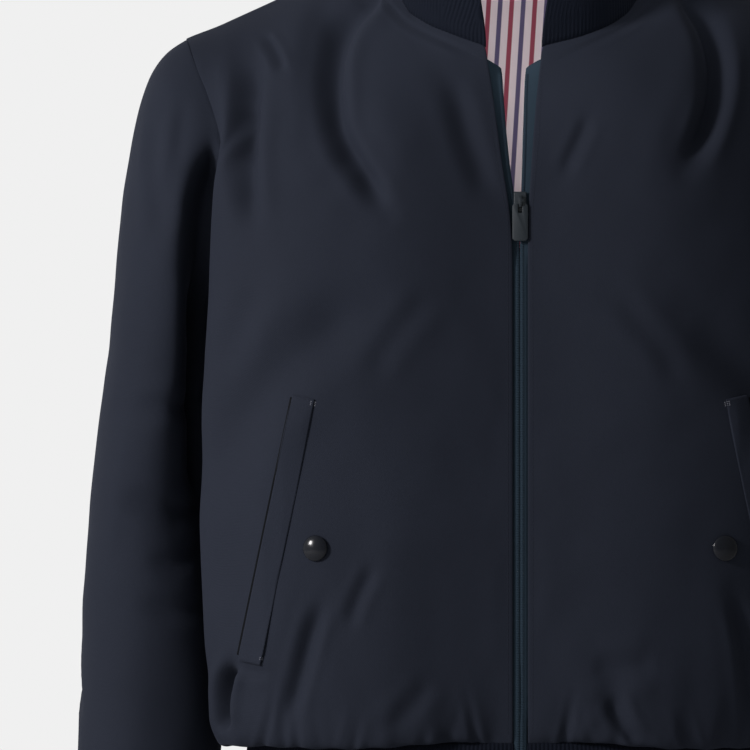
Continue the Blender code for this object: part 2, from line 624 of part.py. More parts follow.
# ------------------------------------------------------------------ collar and hem band
def make_collar(fronts, back):
    """A stand-up rib collar on the neckline, from one front edge round the back to the other."""
    right = np.abs(fronts[RIGHT].points[:, :, 0]).argmin(axis=1)[0]
    left = np.abs(fronts[LEFT].points[:, :, 0]).argmin(axis=1)[0]
    rise = fronts[RIGHT].points[NECK_ROW:, right]
    fall = fronts[LEFT].points[NECK_ROW:, left][::-1]
    neck = back.points[TOP_ROW]
    neck = neck[np.abs(neck[:, 0]) < NECK_POINT[0] - 0.5]
    neck = neck[np.argsort(neck[:, 0])]
    seam = np.concatenate([rise, neck, fall])
    count = (len(seam) - 1) * 2 + 1
    at = np.linspace(0, len(seam) - 1, count)
    base = np.stack([np.interp(at, np.arange(len(seam)), seam[:, axis]) for axis in range(3)], axis=1)
    smooth = curve_through(np.arange(len(seam)), seam, at)
    middle = np.array([0.0, -6.0, 0.0])
    inwards = unit((middle - smooth) * (1, 1, 0))
    frontness = np.clip(-smooth[:, 1] / 86.0, 0, 1)[:, None]
    leaning = inwards * (13.0 - 9.0 * frontness)
    leaning[:, 0] += (np.sign(smooth[:, 0]) * 9.0 * frontness[:, 0] ** 2)
    rows = [base]
    for part in (0.12, 0.45, 1.0):
        height = COLLAR_HEIGHT * part
        rows.append(smooth + (0, 0, height) + leaning * part)
    grid = np.array(rows)
    return Sheet("collar", grid, RIB, lambda points: (points - (0, -6, 0)) * (1, 1, 0),
                 free=("last_row", "first_column", "last_column"), gap=WIDE_SEAM_GAP, linked=True)


def hem_line(fronts, back):
    """The hem seam: right front, back and left front, from zip to zip."""
    lines = []
    for sheet, start in ((fronts[RIGHT], -5), (back, -SIDE_SEAM[0][1]), (fronts[LEFT], SIDE_SEAM[0][1])):
        line = sheet.points[HEM_ROW]
        starts_there = abs(line[0, 0] - start) < abs(line[-1, 0] - start)
        lines.append(line if starts_there else line[::-1])
    right, middle, left = lines
    return np.concatenate([right, middle[1:-1], left])


def make_hem_band(fronts, back):
    """The rib band under the gathered hem, open at the zip."""
    seam = hem_line(fronts, back)
    drop = seam[:, 2] - BAND_BOTTOM
    outwards = unit((seam - (0, 0, 0)) * (1, 1, 0))
    ends = np.abs(seam[:, 0]) < 6
    ease = np.where(ends & (seam[:, 1] < 0), 0.0, 1.0)[:, None]
    rows = [seam]
    for part, swell in ((0.2, 2.0), (0.62, 1.5), (1.0, -2.5)):
        rows.append(seam - (drop * part)[:, None] * (0, 0, 1) + swell * outwards * ease)
    grid = np.array(rows)
    return Sheet("hem_band", grid, RIB, lambda points: points * (1, 1, 0),
                 free=("last_row", "first_column", "last_column"), gap=WIDE_SEAM_GAP)


# ------------------------------------------------------------------ the zip
def zip_line(front):
    """The front's centre edge from the hem to the neck, a line of points."""
    edge = 0 if abs(front.points[0, 0, 0]) < abs(front.points[0, -1, 0]) else -1
    return front.points[:NECK_ROW + 1, edge]


def make_tape(front, surface, side):
    """A zip tape, laid behind the front's edge from the hem band to the neck."""
    rows = np.concatenate([np.arange(0, NECK_ROW), [TAPE_TOP_ROW]])
    line = zip_line(front)
    edge = curve_through(np.arange(NECK_ROW + 1), line, rows)
    band_rows = np.array([BAND_BOTTOM + 12.0, -572.0])
    z = np.concatenate([band_rows, edge[:, 2]])
    cloth_x = np.interp(z, line[:, 2], np.abs(line[:, 0]))
    inner_x = straight_through(ZIP_EDGES, "right_tape" if side == RIGHT else "left_tape", z)
    under_x = cloth_x + TAPE_UNDER
    in_band = z < TAPE_WIDENS
    under_x[in_band] = BAND_EDGE - 0.3
    grid = np.empty((len(z), 3, 3))
    for row, height in enumerate(z):
        if in_band[row]:
            drop = max(edge[0, 2] - height, 0.0)
            y, slope, facing = np.interp(height, edge[:, 2], edge[:, 1]) + BAND_TILT * drop, 0.0, 1.0
        else:
            near, near_normal = surface.point(cloth_x[row] + 0.8, height)
            far, far_normal = surface.point(cloth_x[row] + TAPE_UNDER, height)
            slope = (far[1] - near[1]) / (TAPE_UNDER - 0.8)
            y = near[1] - 0.8 * slope
            facing = min(-near_normal[1], -far_normal[1])
        middle_x = (inner_x[row] + under_x[row]) / 2 if in_band[row] else cloth_x[row]
        for column, across in enumerate((inner_x[row], middle_x, under_x[row])):
            grid[row, column] = (side * across, y + slope * (across - cloth_x[row]) + TAPE_SINK / facing,
                                 height)
    name = "zip_tape_right" if side == RIGHT else "zip_tape_left"
    return Sheet(name, grid, TAPE, lambda points: np.array([0.0, -1.0, 0.0]),
                 free=("first_row", "last_row", "first_column", "last_column"))


def box_mesh(centre, size, bevel):
    """A bevelled box as a bmesh, in millimetres."""
    mesh = bmesh.new()
    bmesh.ops.create_cube(mesh, size=1.0)
    bmesh.ops.scale(mesh, vec=Vector(size), verts=mesh.verts)
    bmesh.ops.translate(mesh, vec=Vector(centre), verts=mesh.verts)
    bmesh.ops.bevel(mesh, geom=mesh.edges[:], offset=bevel, segments=1, affect="EDGES")
    return mesh


def extruded(outline, half_width):
    """An outline in (y, z), extruded to both sides along x, as a bmesh."""
    mesh = bmesh.new()
    face = mesh.faces.new([mesh.verts.new((-half_width, y, z)) for y, z in outline])
    made = bmesh.ops.extrude_face_region(mesh, geom=[face])
    moved = [item for item in made["geom"] if isinstance(item, bmesh.types.BMVert)]
    bmesh.ops.translate(mesh, vec=(2 * half_width, 0, 0), verts=moved)
    bmesh.ops.recalc_face_normals(mesh, faces=mesh.faces)
    return mesh


def object_from(name, mesh, finish, place):
    """An object from a bmesh in millimetres, put at a place by a matrix."""
    bmesh.ops.transform(mesh, matrix=place, verts=mesh.verts)
    points = [tuple(vert.co) for vert in mesh.verts]
    mesh.verts.index_update()
    faces = [[vert.index for vert in face.verts] for face in mesh.faces]
    mesh.free()
    return make_object(name, points, faces, finish)


def join_solids(target, others, operation="UNION"):
    """Boolean the others into the target, and drop them."""
    for other in others:
        modifier = target.modifiers.new(operation.lower(), "BOOLEAN")
        modifier.operation = operation
        modifier.object = other
        bpy.context.view_layer.objects.active = target
        graph = bpy.context.evaluated_depsgraph_get()
        mesh = bpy.data.meshes.new_from_object(target.evaluated_get(graph))
        target.modifiers.clear()
        target.data = mesh
        bpy.data.objects.remove(other)
    return target


# The slider's own frame: y is outwards negative from its front plate's face, z runs up the zip.
PLATE = {"width": 8.6, "length": 14.0, "wall": 1.6, "back_wall": 1.2, "gap": 0.6}
ARCH = {"half_length": 4.0, "height": 3.6, "wall": 1.2, "half_width": 1.0}
PULL = {"width": 10.5, "wall": 1.4, "bar": 1.6, "hole_length": 6.0, "hole_width": 3.0, "length": 27.0}
PULL_AXIS = (-1.2, -1.2)               # y and z of the pull's bar in the slider's frame


def slider_frame(fronts):
    """The matrix of the slider's frame, on the zip's line at its height."""
    edge = zip_line(fronts[RIGHT])
    heights, depths = edge[:, 2], edge[:, 1]
    y = float(np.interp(SLIDER_Z, heights, depths))
    above = float(np.interp(SLIDER_Z + 8, heights, depths))
    below = float(np.interp(SLIDER_Z - 8, heights, depths))
    tilt = math.atan2(above - below, 16.0)
    plate_face = TAPE_SINK - PLATE["wall"] - PLATE["gap"]
    along_normal = Vector((0, math.cos(tilt), -math.sin(tilt))) * plate_face
    place = Vector((0, y, SLIDER_Z)) + along_normal
    return Matrix.Translation(place) @ Matrix.Rotation(-tilt, 4, "X")


def make_slider(frame):
    """The slider: two plates with a post between the tapes, and the arch that the pull hangs in."""
    wall, length, width = PLATE["wall"], PLATE["length"], PLATE["width"]
    front = object_from("zip_slider", box_mesh((0, wall / 2, 0), (width, wall, length), 0.4),
                        "dark_metal", frame)
    back_y = wall + TAPE + 2 * PLATE["gap"] + PLATE["back_wall"] / 2
    back = object_from("slider_back", box_mesh((0, back_y, 0), (width, PLATE["back_wall"], length), 0.3),
                       "dark_metal", frame)
    post = object_from("slider_post", box_mesh((-1.5, (wall + back_y) / 2, 4.4), (1.6, back_y, 1.6), 0.2),
                       "dark_metal", frame)
    half, height, thick = ARCH["half_length"], ARCH["height"], ARCH["wall"]
    outline = [(0.4, -half), (-height * 0.55, -half), (-height, -half * 0.5), (-height, half * 0.5),
               (-height * 0.55, half), (0.4, half), (0.4, half - thick - 0.2), (-height * 0.5, half - thick),
               (-height + thick, half * 0.42), (-height + thick, -half * 0.42),
               (-height * 0.5, -half + thick), (0.4, -half + thick + 0.2)]
    arch = object_from("slider_arch", extruded(outline, ARCH["half_width"]), "dark_metal", frame)
    return join_solids(front, [post, back, arch])


def make_pull(frame):
    """The flat pull tab, hung by its bar in the slider's arch; its origin is on the hinge."""
    axis_y, axis_z = PULL_AXIS
    bar_top = axis_z + PULL["bar"] / 2
    half = PULL["width"] / 2
    foot = bar_top - PULL["length"]
    corner = 1.6
    outline = [(-half * 0.62, bar_top), (half * 0.62, bar_top), (half, bar_top - 2.6), (half, foot + corner),
               (half - corner, foot), (-half + corner, foot), (-half, foot + corner), (-half, bar_top - 2.6)]
    mesh = bmesh.new()
    near = axis_y - PULL["wall"] / 2
    face = mesh.faces.new([mesh.verts.new((x, near, z)) for x, z in outline])
    made = bmesh.ops.extrude_face_region(mesh, geom=[face])
    moved = [item for item in made["geom"] if isinstance(item, bmesh.types.BMVert)]
    bmesh.ops.translate(mesh, vec=(0, PULL["wall"], 0), verts=moved)
    bmesh.ops.recalc_face_normals(mesh, faces=mesh.faces)
    pull = object_from("zip_pull", mesh, "dark_metal", frame)
    hole_top = bar_top - PULL["bar"]
    hole = box_mesh((0, axis_y, hole_top - PULL["hole_length"] / 2),
                    (PULL["hole_width"], 4.0, PULL["hole_length"]), 0.3)
    cutter = object_from("pull_hole", hole, "dark_metal", frame)
    pull = join_solids(pull, [cutter], "DIFFERENCE")
    hinge = frame @ Vector((0, axis_y, axis_z)) * MM
    pull.data.transform(Matrix.Translation(-hinge))
    pull.location = hinge
    return pull


def make_zip_box(fronts):
    """The retainer box at the zip's foot, level with the band's lower edge."""
    edge = zip_line(fronts[RIGHT])
    y = edge[0, 1] + BAND_TILT * (edge[0, 2] - BAND_BOTTOM) + TAPE_SINK
    centre = (0, y, BAND_BOTTOM + 5.85)
    return object_from("zip_box", box_mesh(centre, (9.4, 3.4, 11.1), 0.7), "dark_metal", Matrix.Identity(4))


# ------------------------------------------------------------------ pieces that lie on a front
class Surface:
    """A front's outer side, on which a point in across and z can be found."""

    def __init__(self, sheet, side):
        rows, columns = sheet.points.shape[:2]
        points = (sheet.points + sheet.pulled_back()).reshape(-1, 3)
        self.side = side
        self.tree = BVHTree.FromPolygons([Vector(point) for point in points], grid_faces(rows, columns))

    def point(self, across, z):
        start = Vector((self.side * across, -400.0, z))
        place, normal, _index, _distance = self.tree.ray_cast(start, Vector((0, 1, 0)))
        if normal.y > 0:
            normal = -normal
        return np.array(place), np.array(normal)


def make_welt(surface, side):
    """The slanted welt of a pocket, moved out from the front's own points."""
    top, bottom = np.array(WELT_TOP), np.array(WELT_BOTTOM)
    along = (bottom - top) / np.linalg.norm(bottom - top)
    square = np.array([-along[1], along[0]])
    length = np.linalg.norm(bottom - top)
    columns, rows = 7, 29
    points, normals = np.empty((rows, columns, 3)), np.empty((rows, columns, 3))
    for row, run in enumerate(np.linspace(0, length, rows)):
        for column, over in enumerate(np.linspace(-WELT_WIDTH / 2, WELT_WIDTH / 2, columns)):
            across, z = top + along * run + square * over * 0.86
            points[row, column], normals[row, column] = surface.point(across, z)
    average = unit(normals.mean(axis=(0, 1)))
    middles = (points[1:, 1:] + points[:-1, :-1] + points[1:, :-1] + points[:-1, 1:]) / 4
    proud = max((surface.point(abs(place[0]), place[2])[0] - place) @ average
                for place in middles.reshape(-1, 3))
    lift = (LIFT + WELT_WALL + proud + 0.1) / (normals @ average)[..., None]
    sheet = Sheet("welt_right" if side == RIGHT else "welt_left", points + lift * unit(average),
                  WELT_WALL, lambda grid: np.array([0.0, -1.0, 0.0]),
                  free=("first_row", "last_row", "first_column", "last_column"))
    sheet.depths[:] = unit(average)
    return sheet


def make_snap(surface, side):
    """The domed cap of a press stud."""
    place, normal = surface.point(*SNAP_PLACE)
    radius, height = SNAP_DIAMETER / 2, SNAP_HEIGHT
    profile = [(radius * 0.97, 0.0), (radius, 0.7), (radius * 0.93, 1.4), (radius * 0.78, 2.2),
               (radius * 0.5, 3.0), (radius * 0.2, height)]
    sides = 24
    points = [(0.0, 0.0, 0.0)]
    for ring_radius, level in profile:
        points += [(ring_radius * math.cos(2 * math.pi * k / sides),
                    ring_radius * math.sin(2 * math.pi * k / sides), level) for k in range(sides)]
    points.append((0.0, 0.0, height + 0.15))
    at = lambda ring, k: 1 + ring * sides + k % sides
    faces = [(0, at(0, k + 1), at(0, k)) for k in range(sides)]
    for ring in range(len(profile) - 1):
        faces += [(at(ring, k), at(ring, k + 1), at(ring + 1, k + 1), at(ring + 1, k)) for k in range(sides)]
    last = len(profile) - 1
    faces += [(at(last, k), at(last, k + 1), len(points) - 1) for k in range(sides)]
    turn = Vector((0, 0, 1)).rotation_difference(Vector(normal)).to_matrix().to_4x4()
    frame = Matrix.Translation(Vector(place + (LIFT + 0.25) * normal)) @ turn
    points = [tuple(frame @ Vector(point)) for point in points]
    return make_object("snap_right" if side == RIGHT else "snap_left", points, faces, "glossy_black")


# ------------------------------------------------------------------ the lining of the back
def make_lining():
    """The back's lining, which hangs inside its folds; it shows through the neck."""
    half = back_half()
    plain = whole_back({RIGHT: half, LEFT: half})
    normals = grid_normals(plain)
    normals *= np.sign(normals[..., 1].mean())
    inside = plain - LINING_INSET * normals
    columns = plain.shape[1]
    inset_rows = list(range(4, TOP_ROW, 2)) + [TOP_ROW - 1, TOP_ROW - 0.35]
    inset_columns = [1] + list(range(2, columns - 1, 2)) + [columns - 2]
    rows = curve_through(np.arange(len(inside)), inside, inset_rows)
    grid = curve_through(np.arange(columns), rows.transpose(1, 0, 2), inset_columns).transpose(1, 0, 2)
    return Sheet("lining_back", grid, LINING, lambda points: np.array([0.0, 1.0, 0.0]),
                 free=("first_row", "last_row", "first_column", "last_column"))


# ------------------------------------------------------------------ the whole jacket
def build_jacket():
    """Makes every piece: the sewn cloth first, then what lies on it."""
    for old in list(bpy.data.objects):
        bpy.data.objects.remove(old)
    fronts = {side: make_front(side) for side in (RIGHT, LEFT)}
    back = make_back()
    sleeves = {side: make_sleeve(side) for side in (RIGHT, LEFT)}
    cuffs = {side: make_cuff(sleeves[side], side) for side in (RIGHT, LEFT)}
    collar = make_collar(fronts, back)
    band = make_hem_band(fronts, back)
    sewn = [*fronts.values(), back, *sleeves.values(), *cuffs.values(), collar, band]
    soften_neck(collar, share_depths(sewn))
    share_shoulder_depths(fronts.values(), back)
    for sheet in (*fronts.values(), back, *sleeves.values()):
        make_sheet(sheet, "wool_cloth")
    for sheet in (*cuffs.values(), collar, band):
        make_sheet(sheet, "rib_knit")
    for side in (RIGHT, LEFT):
        surface = Surface(fronts[side], side)
        make_sheet(make_tape(fronts[side], surface, side), "zip_tape")
        make_sheet(make_welt(surface, side), "wool_cloth")
        make_snap(surface, side)
    make_sheet(make_lining(), "striped_lining")
    frame = slider_frame(fronts)
    make_slider(frame)
    make_pull(frame)
    make_zip_box(fronts)


build_jacket()
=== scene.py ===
"""A dark wool bomber jacket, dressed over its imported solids: cloth, ribs, zip, pockets and lining."""

import math
import random

import bmesh
import bpy
import numpy as np
from mathutils import Matrix, Vector, noise
from mathutils.bvhtree import BVHTree
from mathutils.kdtree import KDTree


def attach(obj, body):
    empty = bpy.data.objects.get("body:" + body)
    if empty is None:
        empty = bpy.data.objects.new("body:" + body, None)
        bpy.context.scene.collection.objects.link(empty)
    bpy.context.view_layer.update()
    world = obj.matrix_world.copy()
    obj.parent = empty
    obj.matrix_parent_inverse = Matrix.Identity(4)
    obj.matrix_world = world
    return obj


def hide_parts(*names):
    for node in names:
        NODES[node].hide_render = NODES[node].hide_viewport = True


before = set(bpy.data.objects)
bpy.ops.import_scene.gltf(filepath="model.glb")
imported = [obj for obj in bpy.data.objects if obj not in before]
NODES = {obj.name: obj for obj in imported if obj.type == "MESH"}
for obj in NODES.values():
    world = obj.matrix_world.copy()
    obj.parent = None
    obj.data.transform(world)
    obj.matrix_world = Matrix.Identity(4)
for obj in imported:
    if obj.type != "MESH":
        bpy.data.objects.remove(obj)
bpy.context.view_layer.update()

bl_info = {
    "name": "Bomber jacket",
    "version": (1, 0, 0),
    "blender": (4, 5, 0),
    "location": "View3D > Sidebar > Jacket",
    "description": "Builds the cloth, ribs, zip, pockets, lining and stage of a bomber jacket",
    "category": "Object",
}

MM = 0.001
SIGN = {"right": -1, "left": 1}  # the wearer's sides, and which way x runs there

# Creases: width, depth and ridge in mm, then the path. On the fronts and the back it runs in (x, z) mm.
FRONT_CREASES = {
    "right": [
        (13, 9.5, 1.2, [(-92, -18), (-103, -40), (-119, -57), (-127, -79), (-128, -106), (-125, -132),
                        (-113, -152), (-100, -170), (-90, -186)]),
        (28, 3.0, 0.4, [(-86, -24), (-98, -46), (-112, -70), (-116, -106), (-110, -140), (-92, -172)]),
        (14, 7.6, 1.6, [(-179, -78), (-183, -98), (-185, -120), (-186, -146), (-185, -174), (-181, -202)]),
        (12, 5.6, 0, [(-187, -112), (-190, -134), (-189, -156)]),
        (7, 3.4, 1.2, [(-176, -66), (-168, -76), (-161, -92)]),
        (14, 2.0, 0.7, [(-53, -88), (-41, -116), (-32, -146), (-20, -176)]),
        (30, 3.2, 1.2, [(-104, -250), (-136, -270), (-166, -296), (-188, -332), (-200, -368)]),
        (18, 2.0, 0.8, [(-176, -232), (-190, -262), (-203, -300)]),
        (9, 2.2, 0.7, [(-98, -424), (-111, -448), (-117, -468)]),
        (10, 4.2, 1.3, [(-132, -446), (-142, -470), (-147, -490), (-153, -512), (-159, -534)]),
        (8, 15.0, 2.8, [(-195, -490), (-200, -504), (-201, -520), (-195, -538)]),
        (7, 2.0, 0.8, [(-170, -500), (-184, -497), (-197, -494)]),
        (14, 1.2, 0.5, [(-58, -240), (-84, -266), (-104, -300)]),
        (12, 1.4, 0.5, [(-60, -500), (-74, -522), (-96, -540)]),
    ],
    "left": [
        (13, 7.4, 1.8, [(104, -24), (120, -46), (133, -70), (136, -98), (127, -130), (112, -156)]),
        (13, 5.8, 1.8, [(178, -80), (186, -104), (189, -134), (187, -172)]),
        (9, 1.8, 0.6, [(48, -118), (40, -138), (28, -162)]),
        (28, 2.6, 1.0, [(112, -262), (152, -290), (184, -330), (198, -362)]),
        (16, 1.8, 0.7, [(178, -240), (192, -272), (203, -306)]),
        (10, 3.8, 1.2, [(60, -512), (70, -534), (82, -548)]),
        (16, 1.8, 0.6, [(46, -492), (70, -496), (94, -490)]),
        (10, 3.4, 1.1, [(144, -442), (153, -476), (157, -510), (158, -534)]),
        (8, 4.6, 1.3, [(190, -492), (197, -512), (194, -538)]),
        (14, 1.2, 0.5, [(62, -240), (90, -268), (112, -304)]),
    ],
}
BACK_CREASES = [
    (15, 3.6, 1.2, [(-182, -118), (-164, -160), (-130, -202), (-96, -226)]),
    (15, 3.4, 1.2, [(184, -124), (162, -172), (124, -216)]),
    (12, 2.2, 0.8, [(-188, -150), (-176, -190), (-150, -232)]),
    (12, 2.4, 0.8, [(186, -158), (170, -206), (146, -244)]),
    (18, 2.6, 0.9, [(-154, -330), (-120, -395), (-104, -470)]),
    (18, 2.8, 0.9, [(150, -346), (122, -420), (116, -500)]),
    (16, 2.2, 0.8, [(-60, -352), (-6, -366), (58, -356)]),
    (16, 2.0, 0.7, [(-96, -424), (-30, -440), (34, -432)]),
    (14, 2.0, 0.7, [(-44, -468), (-38, -500), (-34, -528)]),
    (14, 2.0, 0.7, [(50, -452), (58, -492), (60, -528)]),
    (13, 1.8, 0.6, [(-76, -70), (-30, -84), (26, -82), (72, -72)]),
]
LINING_CREASES = [
    (5, 3.2, 1.4, [(-4, 4), (-8, -40), (-11, -90), (-14, -140)]),
    (9, 2.0, 0.8, [(22, -6), (17, -60), (14, -130)]),
    (10, 2.4, 0.8, [(-52, -10), (-40, -70), (-34, -150)]),
    (12, 2.4, 0.8, [(60, -14), (54, -90), (50, -180)]),
]
# On a sleeve a path runs in degrees round it (0 outside, 90 front, 180 inside, 270 behind) and in z.
SLEEVE_CREASES = {
    "right": [
        (9, 1.3, 0.5, [(80, -104), (84, -130), (82, -158), (84, -182)]),
        (12, 2.4, 0.8, [(56, -118), (70, -160), (84, -208)]),
        (14, 3.0, 1.0, [(168, -300), (116, -320), (62, -316)]),
        (15, 3.4, 1.2, [(178, -378), (120, -394), (60, -376)]),
        (13, 2.6, 0.9, [(174, -436), (126, -460), (78, -452)]),
        (12, 2.0, 0.7, [(150, -410), (112, -426), (86, -420)]),
        (14, 2.6, 1.0, [(196, -346), (250, -366), (304, -350)]),
        (14, 3.0, 1.0, [(190, -408), (246, -428), (318, -410)]),
        (13, 2.2, 0.8, [(270, -150), (262, -200), (244, -252)]),
        (12, 2.0, 0.7, [(330, -470), (350, -505), (380, -530)]),
        (11, 2.4, 0.9, [(18, -560), (58, -584), (104, -586)]),
        (11, 2.4, 0.9, [(206, -566), (256, -590), (310, -580)]),
    ],
    "left": [
        (12, 2.4, 0.8, [(54, -124), (72, -168), (80, -214)]),
        (14, 2.8, 1.0, [(170, -308), (118, -330), (68, -322)]),
        (15, 3.4, 1.2, [(176, -388), (118, -400), (58, -388)]),
        (13, 2.6, 0.9, [(172, -450), (120, -470), (74, -460)]),
        (12, 2.0, 0.7, [(148, -420), (110, -436), (84, -430)]),
        (14, 2.8, 1.0, [(192, -356), (248, -374), (308, -360)]),
        (14, 2.8, 1.0, [(188, -420), (244, -436), (314, -424)]),
        (13, 2.2, 0.8, [(268, -156), (260, -206), (240, -262)]),
        (12, 2.0, 0.7, [(334, -480), (354, -512), (384, -536)]),
        (11, 2.4, 0.9, [(28, -570), (70, -590), (112, -584)]),
        (11, 2.4, 0.9, [(210, -574), (258, -592), (304, -586)]),
    ],
}
SLEEVE_MIDDLE = (  # z, |x|, y of a sleeve's middle line, in mm
    (-652, 257, -10), (-590, 255.5, -4), (-530, 253, 4), (-447, 249.5, 12), (-372, 246, 15), (-297, 242, 13),
    (-226, 234.5, 10), (-189, 228, 8.5), (-150, 222, 8), (-100, 214, 8),
)
SLEEVE_GIRTH = 48  # mm of cloth to a radian, for the creases' lengths
SLEEVE_CLEFT = (17, 18.0, 0.6, [  # between arm and body
    (116, -126), (111, -142), (106, -158), (104, -184), (107, -210), (113, -240), (119, -272), (125, -313),
    (132, -350), (138, -384),
])
CREASE_END = 0.1  # the share of its depth that a crease keeps at its ends
CREASE_FADE = (0.26, 32)  # it fades over this share of its length, and over so many mm at most

# Gathers at the hem: how many along a half of it, their seed and |x| of the half's ends, in mm.
HEM_GATHERS = {"front": (17, 9, 8, 208), "back": (18, 5, 4, 204)}
HEM_Z = -552  # the cloth's fold over the hem band
GATHER_WIDTHS, GATHER_DEPTHS = (4.5, 10), (0.5, 0.9, 1.4, 2.4)
GATHER_TOPS, GATHER_LEAN = (12, 52), 0.35
FRONT_BLEND, BACK_BLEND = (7, 18), 6  # |x| where they set in and grow; how far the back's halves overlap

WAVES = ((0.060, 1.3, 3.0), (0.024, 0.4, 9.0))  # size in m, height in mm and seed
FRONT_WAVES, BACK_WAVES, SLEEVE_WAVES = 1.0, 1.1, 0.9
CREASE_CALM, WAVE_CALM = 7 * MM, 16 * MM  # how far from a seam creases and waves are at full height
CLEFT_CALM = (5 * MM, 2.4 * MM)
BODY_ROUND = (0.21, 0.13)  # half the body's width and depth in m

WOOL, KNIT, THIN = 1.8 * MM, 3.0 * MM, 1.0 * MM  # the cloths' walls
RIM_BEND, SEAM_BEND = math.radians(50), math.radians(20)  # how sharp their edges are at least
RIM_WIDTH = 1.7  # a rim's face is narrower than this many walls
RIM_CREASE, SEAM_CREASE = 0.85, 0.95
RIM_REACH, KNIT_REACH = 0.3 * MM, 0.9 * MM  # how far cut ends reach towards the cloth beside them
SEAM_GAP = 0.9 * MM  # the most from a seam's edge to the solid beside it
RIM_POINTS = 5  # along an edge, to measure the way to it

# How far the worn cloth settles away from its solids, in mm. A pair is where it sets in and how far it grows.
SLEEVE_SHIFT = (  # z, outwards
    (-720, 4.0), (-640, 4.0), (-544, 4.0), (-483, 4.8), (-449, 6.0), (-381, 6.0), (-313, 3.4), (-279, 2.0),
    (-231, 2.7), (-177, 4.6), (-130, 5.0), (-95, 4.8), (-76, 3.5), (-55, 3.0),
)
SHOULDER_LIFT = (  # |x|, upwards
    (80, 0), (125, 1.2), (170, 2.7), (197, 4.0), (225, 5.2), (237, 5.4), (260, 4.5),
)
BODY_SETTLE = (  # |x| and z of the middle, reach in x and z, move in x and z
    (207, -158, 14, 34, 1.6, 0), (210, -400, 14, 60, 1.8, 0), (199, -540, 20, 22, 6.5, -3.0),
)
SHIFT_OUTSIDE = (203, 20)  # |x| beyond which the cloth shifts outwards
LIMB_SHIFT, BODY_SHIFT = (-240, -90), (-250, 50)  # z below which a sleeve does, and above which the body does
LIFT_ABOVE = (-150, 60)  # z above which the shoulder lifts
INNER_REACH = 35  # how far inside its middle line a sleeve's inner side is
INNER_STILL = (-400, -60)  # z below which that side stays
INNER_SWELL = (-530, 60, 6.0)  # z, reach and height of its swelling towards the body
HEAD_LIFT = (-104, 26, 0.6)  # z, growth and height of the lift of a sleeve's head

# The zip, at heights in mm: how far the cloth's edge and the tape's inner edge are from the middle.
ZIP_EDGES = {
    "right": ((-600, 5.2, 0.15), (-191, 5.2, 0.15), (-177, 8.2, 3.6), (-158, 11.6, 7.0), (-135, 15.2, 9.5),
              (-107, 17.7, 11.0), (-83, 20.4, 12.2), (-71.5, 23.5, 13.6)),
    "left": ((-600, 5.2, 0.15), (-191, 5.2, 0.15), (-177, 5.8, 0.5), (-158, 7.3, 1.2), (-135, 9.5, 2.0),
             (-107, 10.9, 2.7), (-83, 12.0, 3.9), (-71.5, 15.5, 4.8)),
}
CLOTH_EDGE, TAPE_EDGE = 1, 2  # the columns of these tables
CORNER_WIDTH, CORNER_DROP, CORNER_FROM = 9.5, 5.5, (-96, 15)  # the slant of a tape's top corner, and z
SHUT_WITHIN, SHUT_BY = 2, 0.30  # within this |x| the tapes close by so much where the zip is shut
SHUT_EDGE = 0.3  # it is shut where the tape's inner edge is nearer than this
ARCH_BY, ARCH_BELOW, ARCH_WITHIN = 1.5, (-208, -16), (3.6, 2.2)  # the closed zip arches out here in z and |x|
COIL_SIZE = (0.95, 2.3, 0.7)  # a rib of the coil edge: along, across and out
COIL_HEIGHTS = (-585, -90, 1.15)  # z of its foot and top, and its pitch
COIL_MIDDLE = 1.35  # from the tape's edge to the coil edge's middle
COIL_GAP, COIL_LIFT = 3 * MM, 0.05 * MM  # the most from rib to rib, and how far they lie off the tape

# Pockets, in mm. A line has its place across the welt, and its start and end along it.
WELT_ENDS = ((146.2, -310.8), (183.9, -491.8))  # |x| and z of the middle of a welt's ends
WELT_SINK = ((-9, 2.1), (-2, 1.45), (9, 0.9))  # across a welt, and how far it sinks into the front there
# The strip in a pocket's mouth is painted shadow, a near-black sheet where the opening is shaded: its line,
# then its width, lift, thickness and step.
MOUTH_SHADOW_LINE = (9.2, 2, 181)
MOUTH_SHADOW_WIDE, MOUTH_SHADOW_LIFT, MOUTH_SHADOW_THICK, MOUTH_SHADOW_STEP = 1.1, 0.12, 0.3, 3
TACK_EDGE = -8.6  # the bartacks' inner ends across the welt
TACKS = ((2.0, 4.5), (3.2, 4.5), (4.4, 4.5), (179.5, 3), (180.7, 3))  # along the welt, and their lengths

# Rows of stitches, in mm, and the shape of one to its length or thickness.
ZIP_STITCHES, ZIP_STITCH_HEIGHTS = 3.2, range(-84, -541, -4)  # from the cloth's edge at the zip, and z
WELT_STITCHES = (-7.4, 5, 178)
END_STITCHES = (-7.4, 8.0, (1.6, 180.6))  # over the welt's ends: from and to across it, and where along it
STITCH_SHAPE, STITCH_LIFT = (0.40, 0.5, 0.36), 0.10
STITCH_GAP = 1.6  # the most from one to the next, in stitches
NECK_STITCHES = (  # |x| and z, below the collar
    (25.5, -80.6), (32, -77.2), (45.6, -71.2), (59.8, -65.0), (72.8, -58.2), (82.3, -51.2), (91.8, -41.0),
    (96.5, -30.0), (98.5, -18.0),
)
NECK_GROOVE = (5, 1.0, 0.5)  # width, depth and ridge of the crease that they pull in

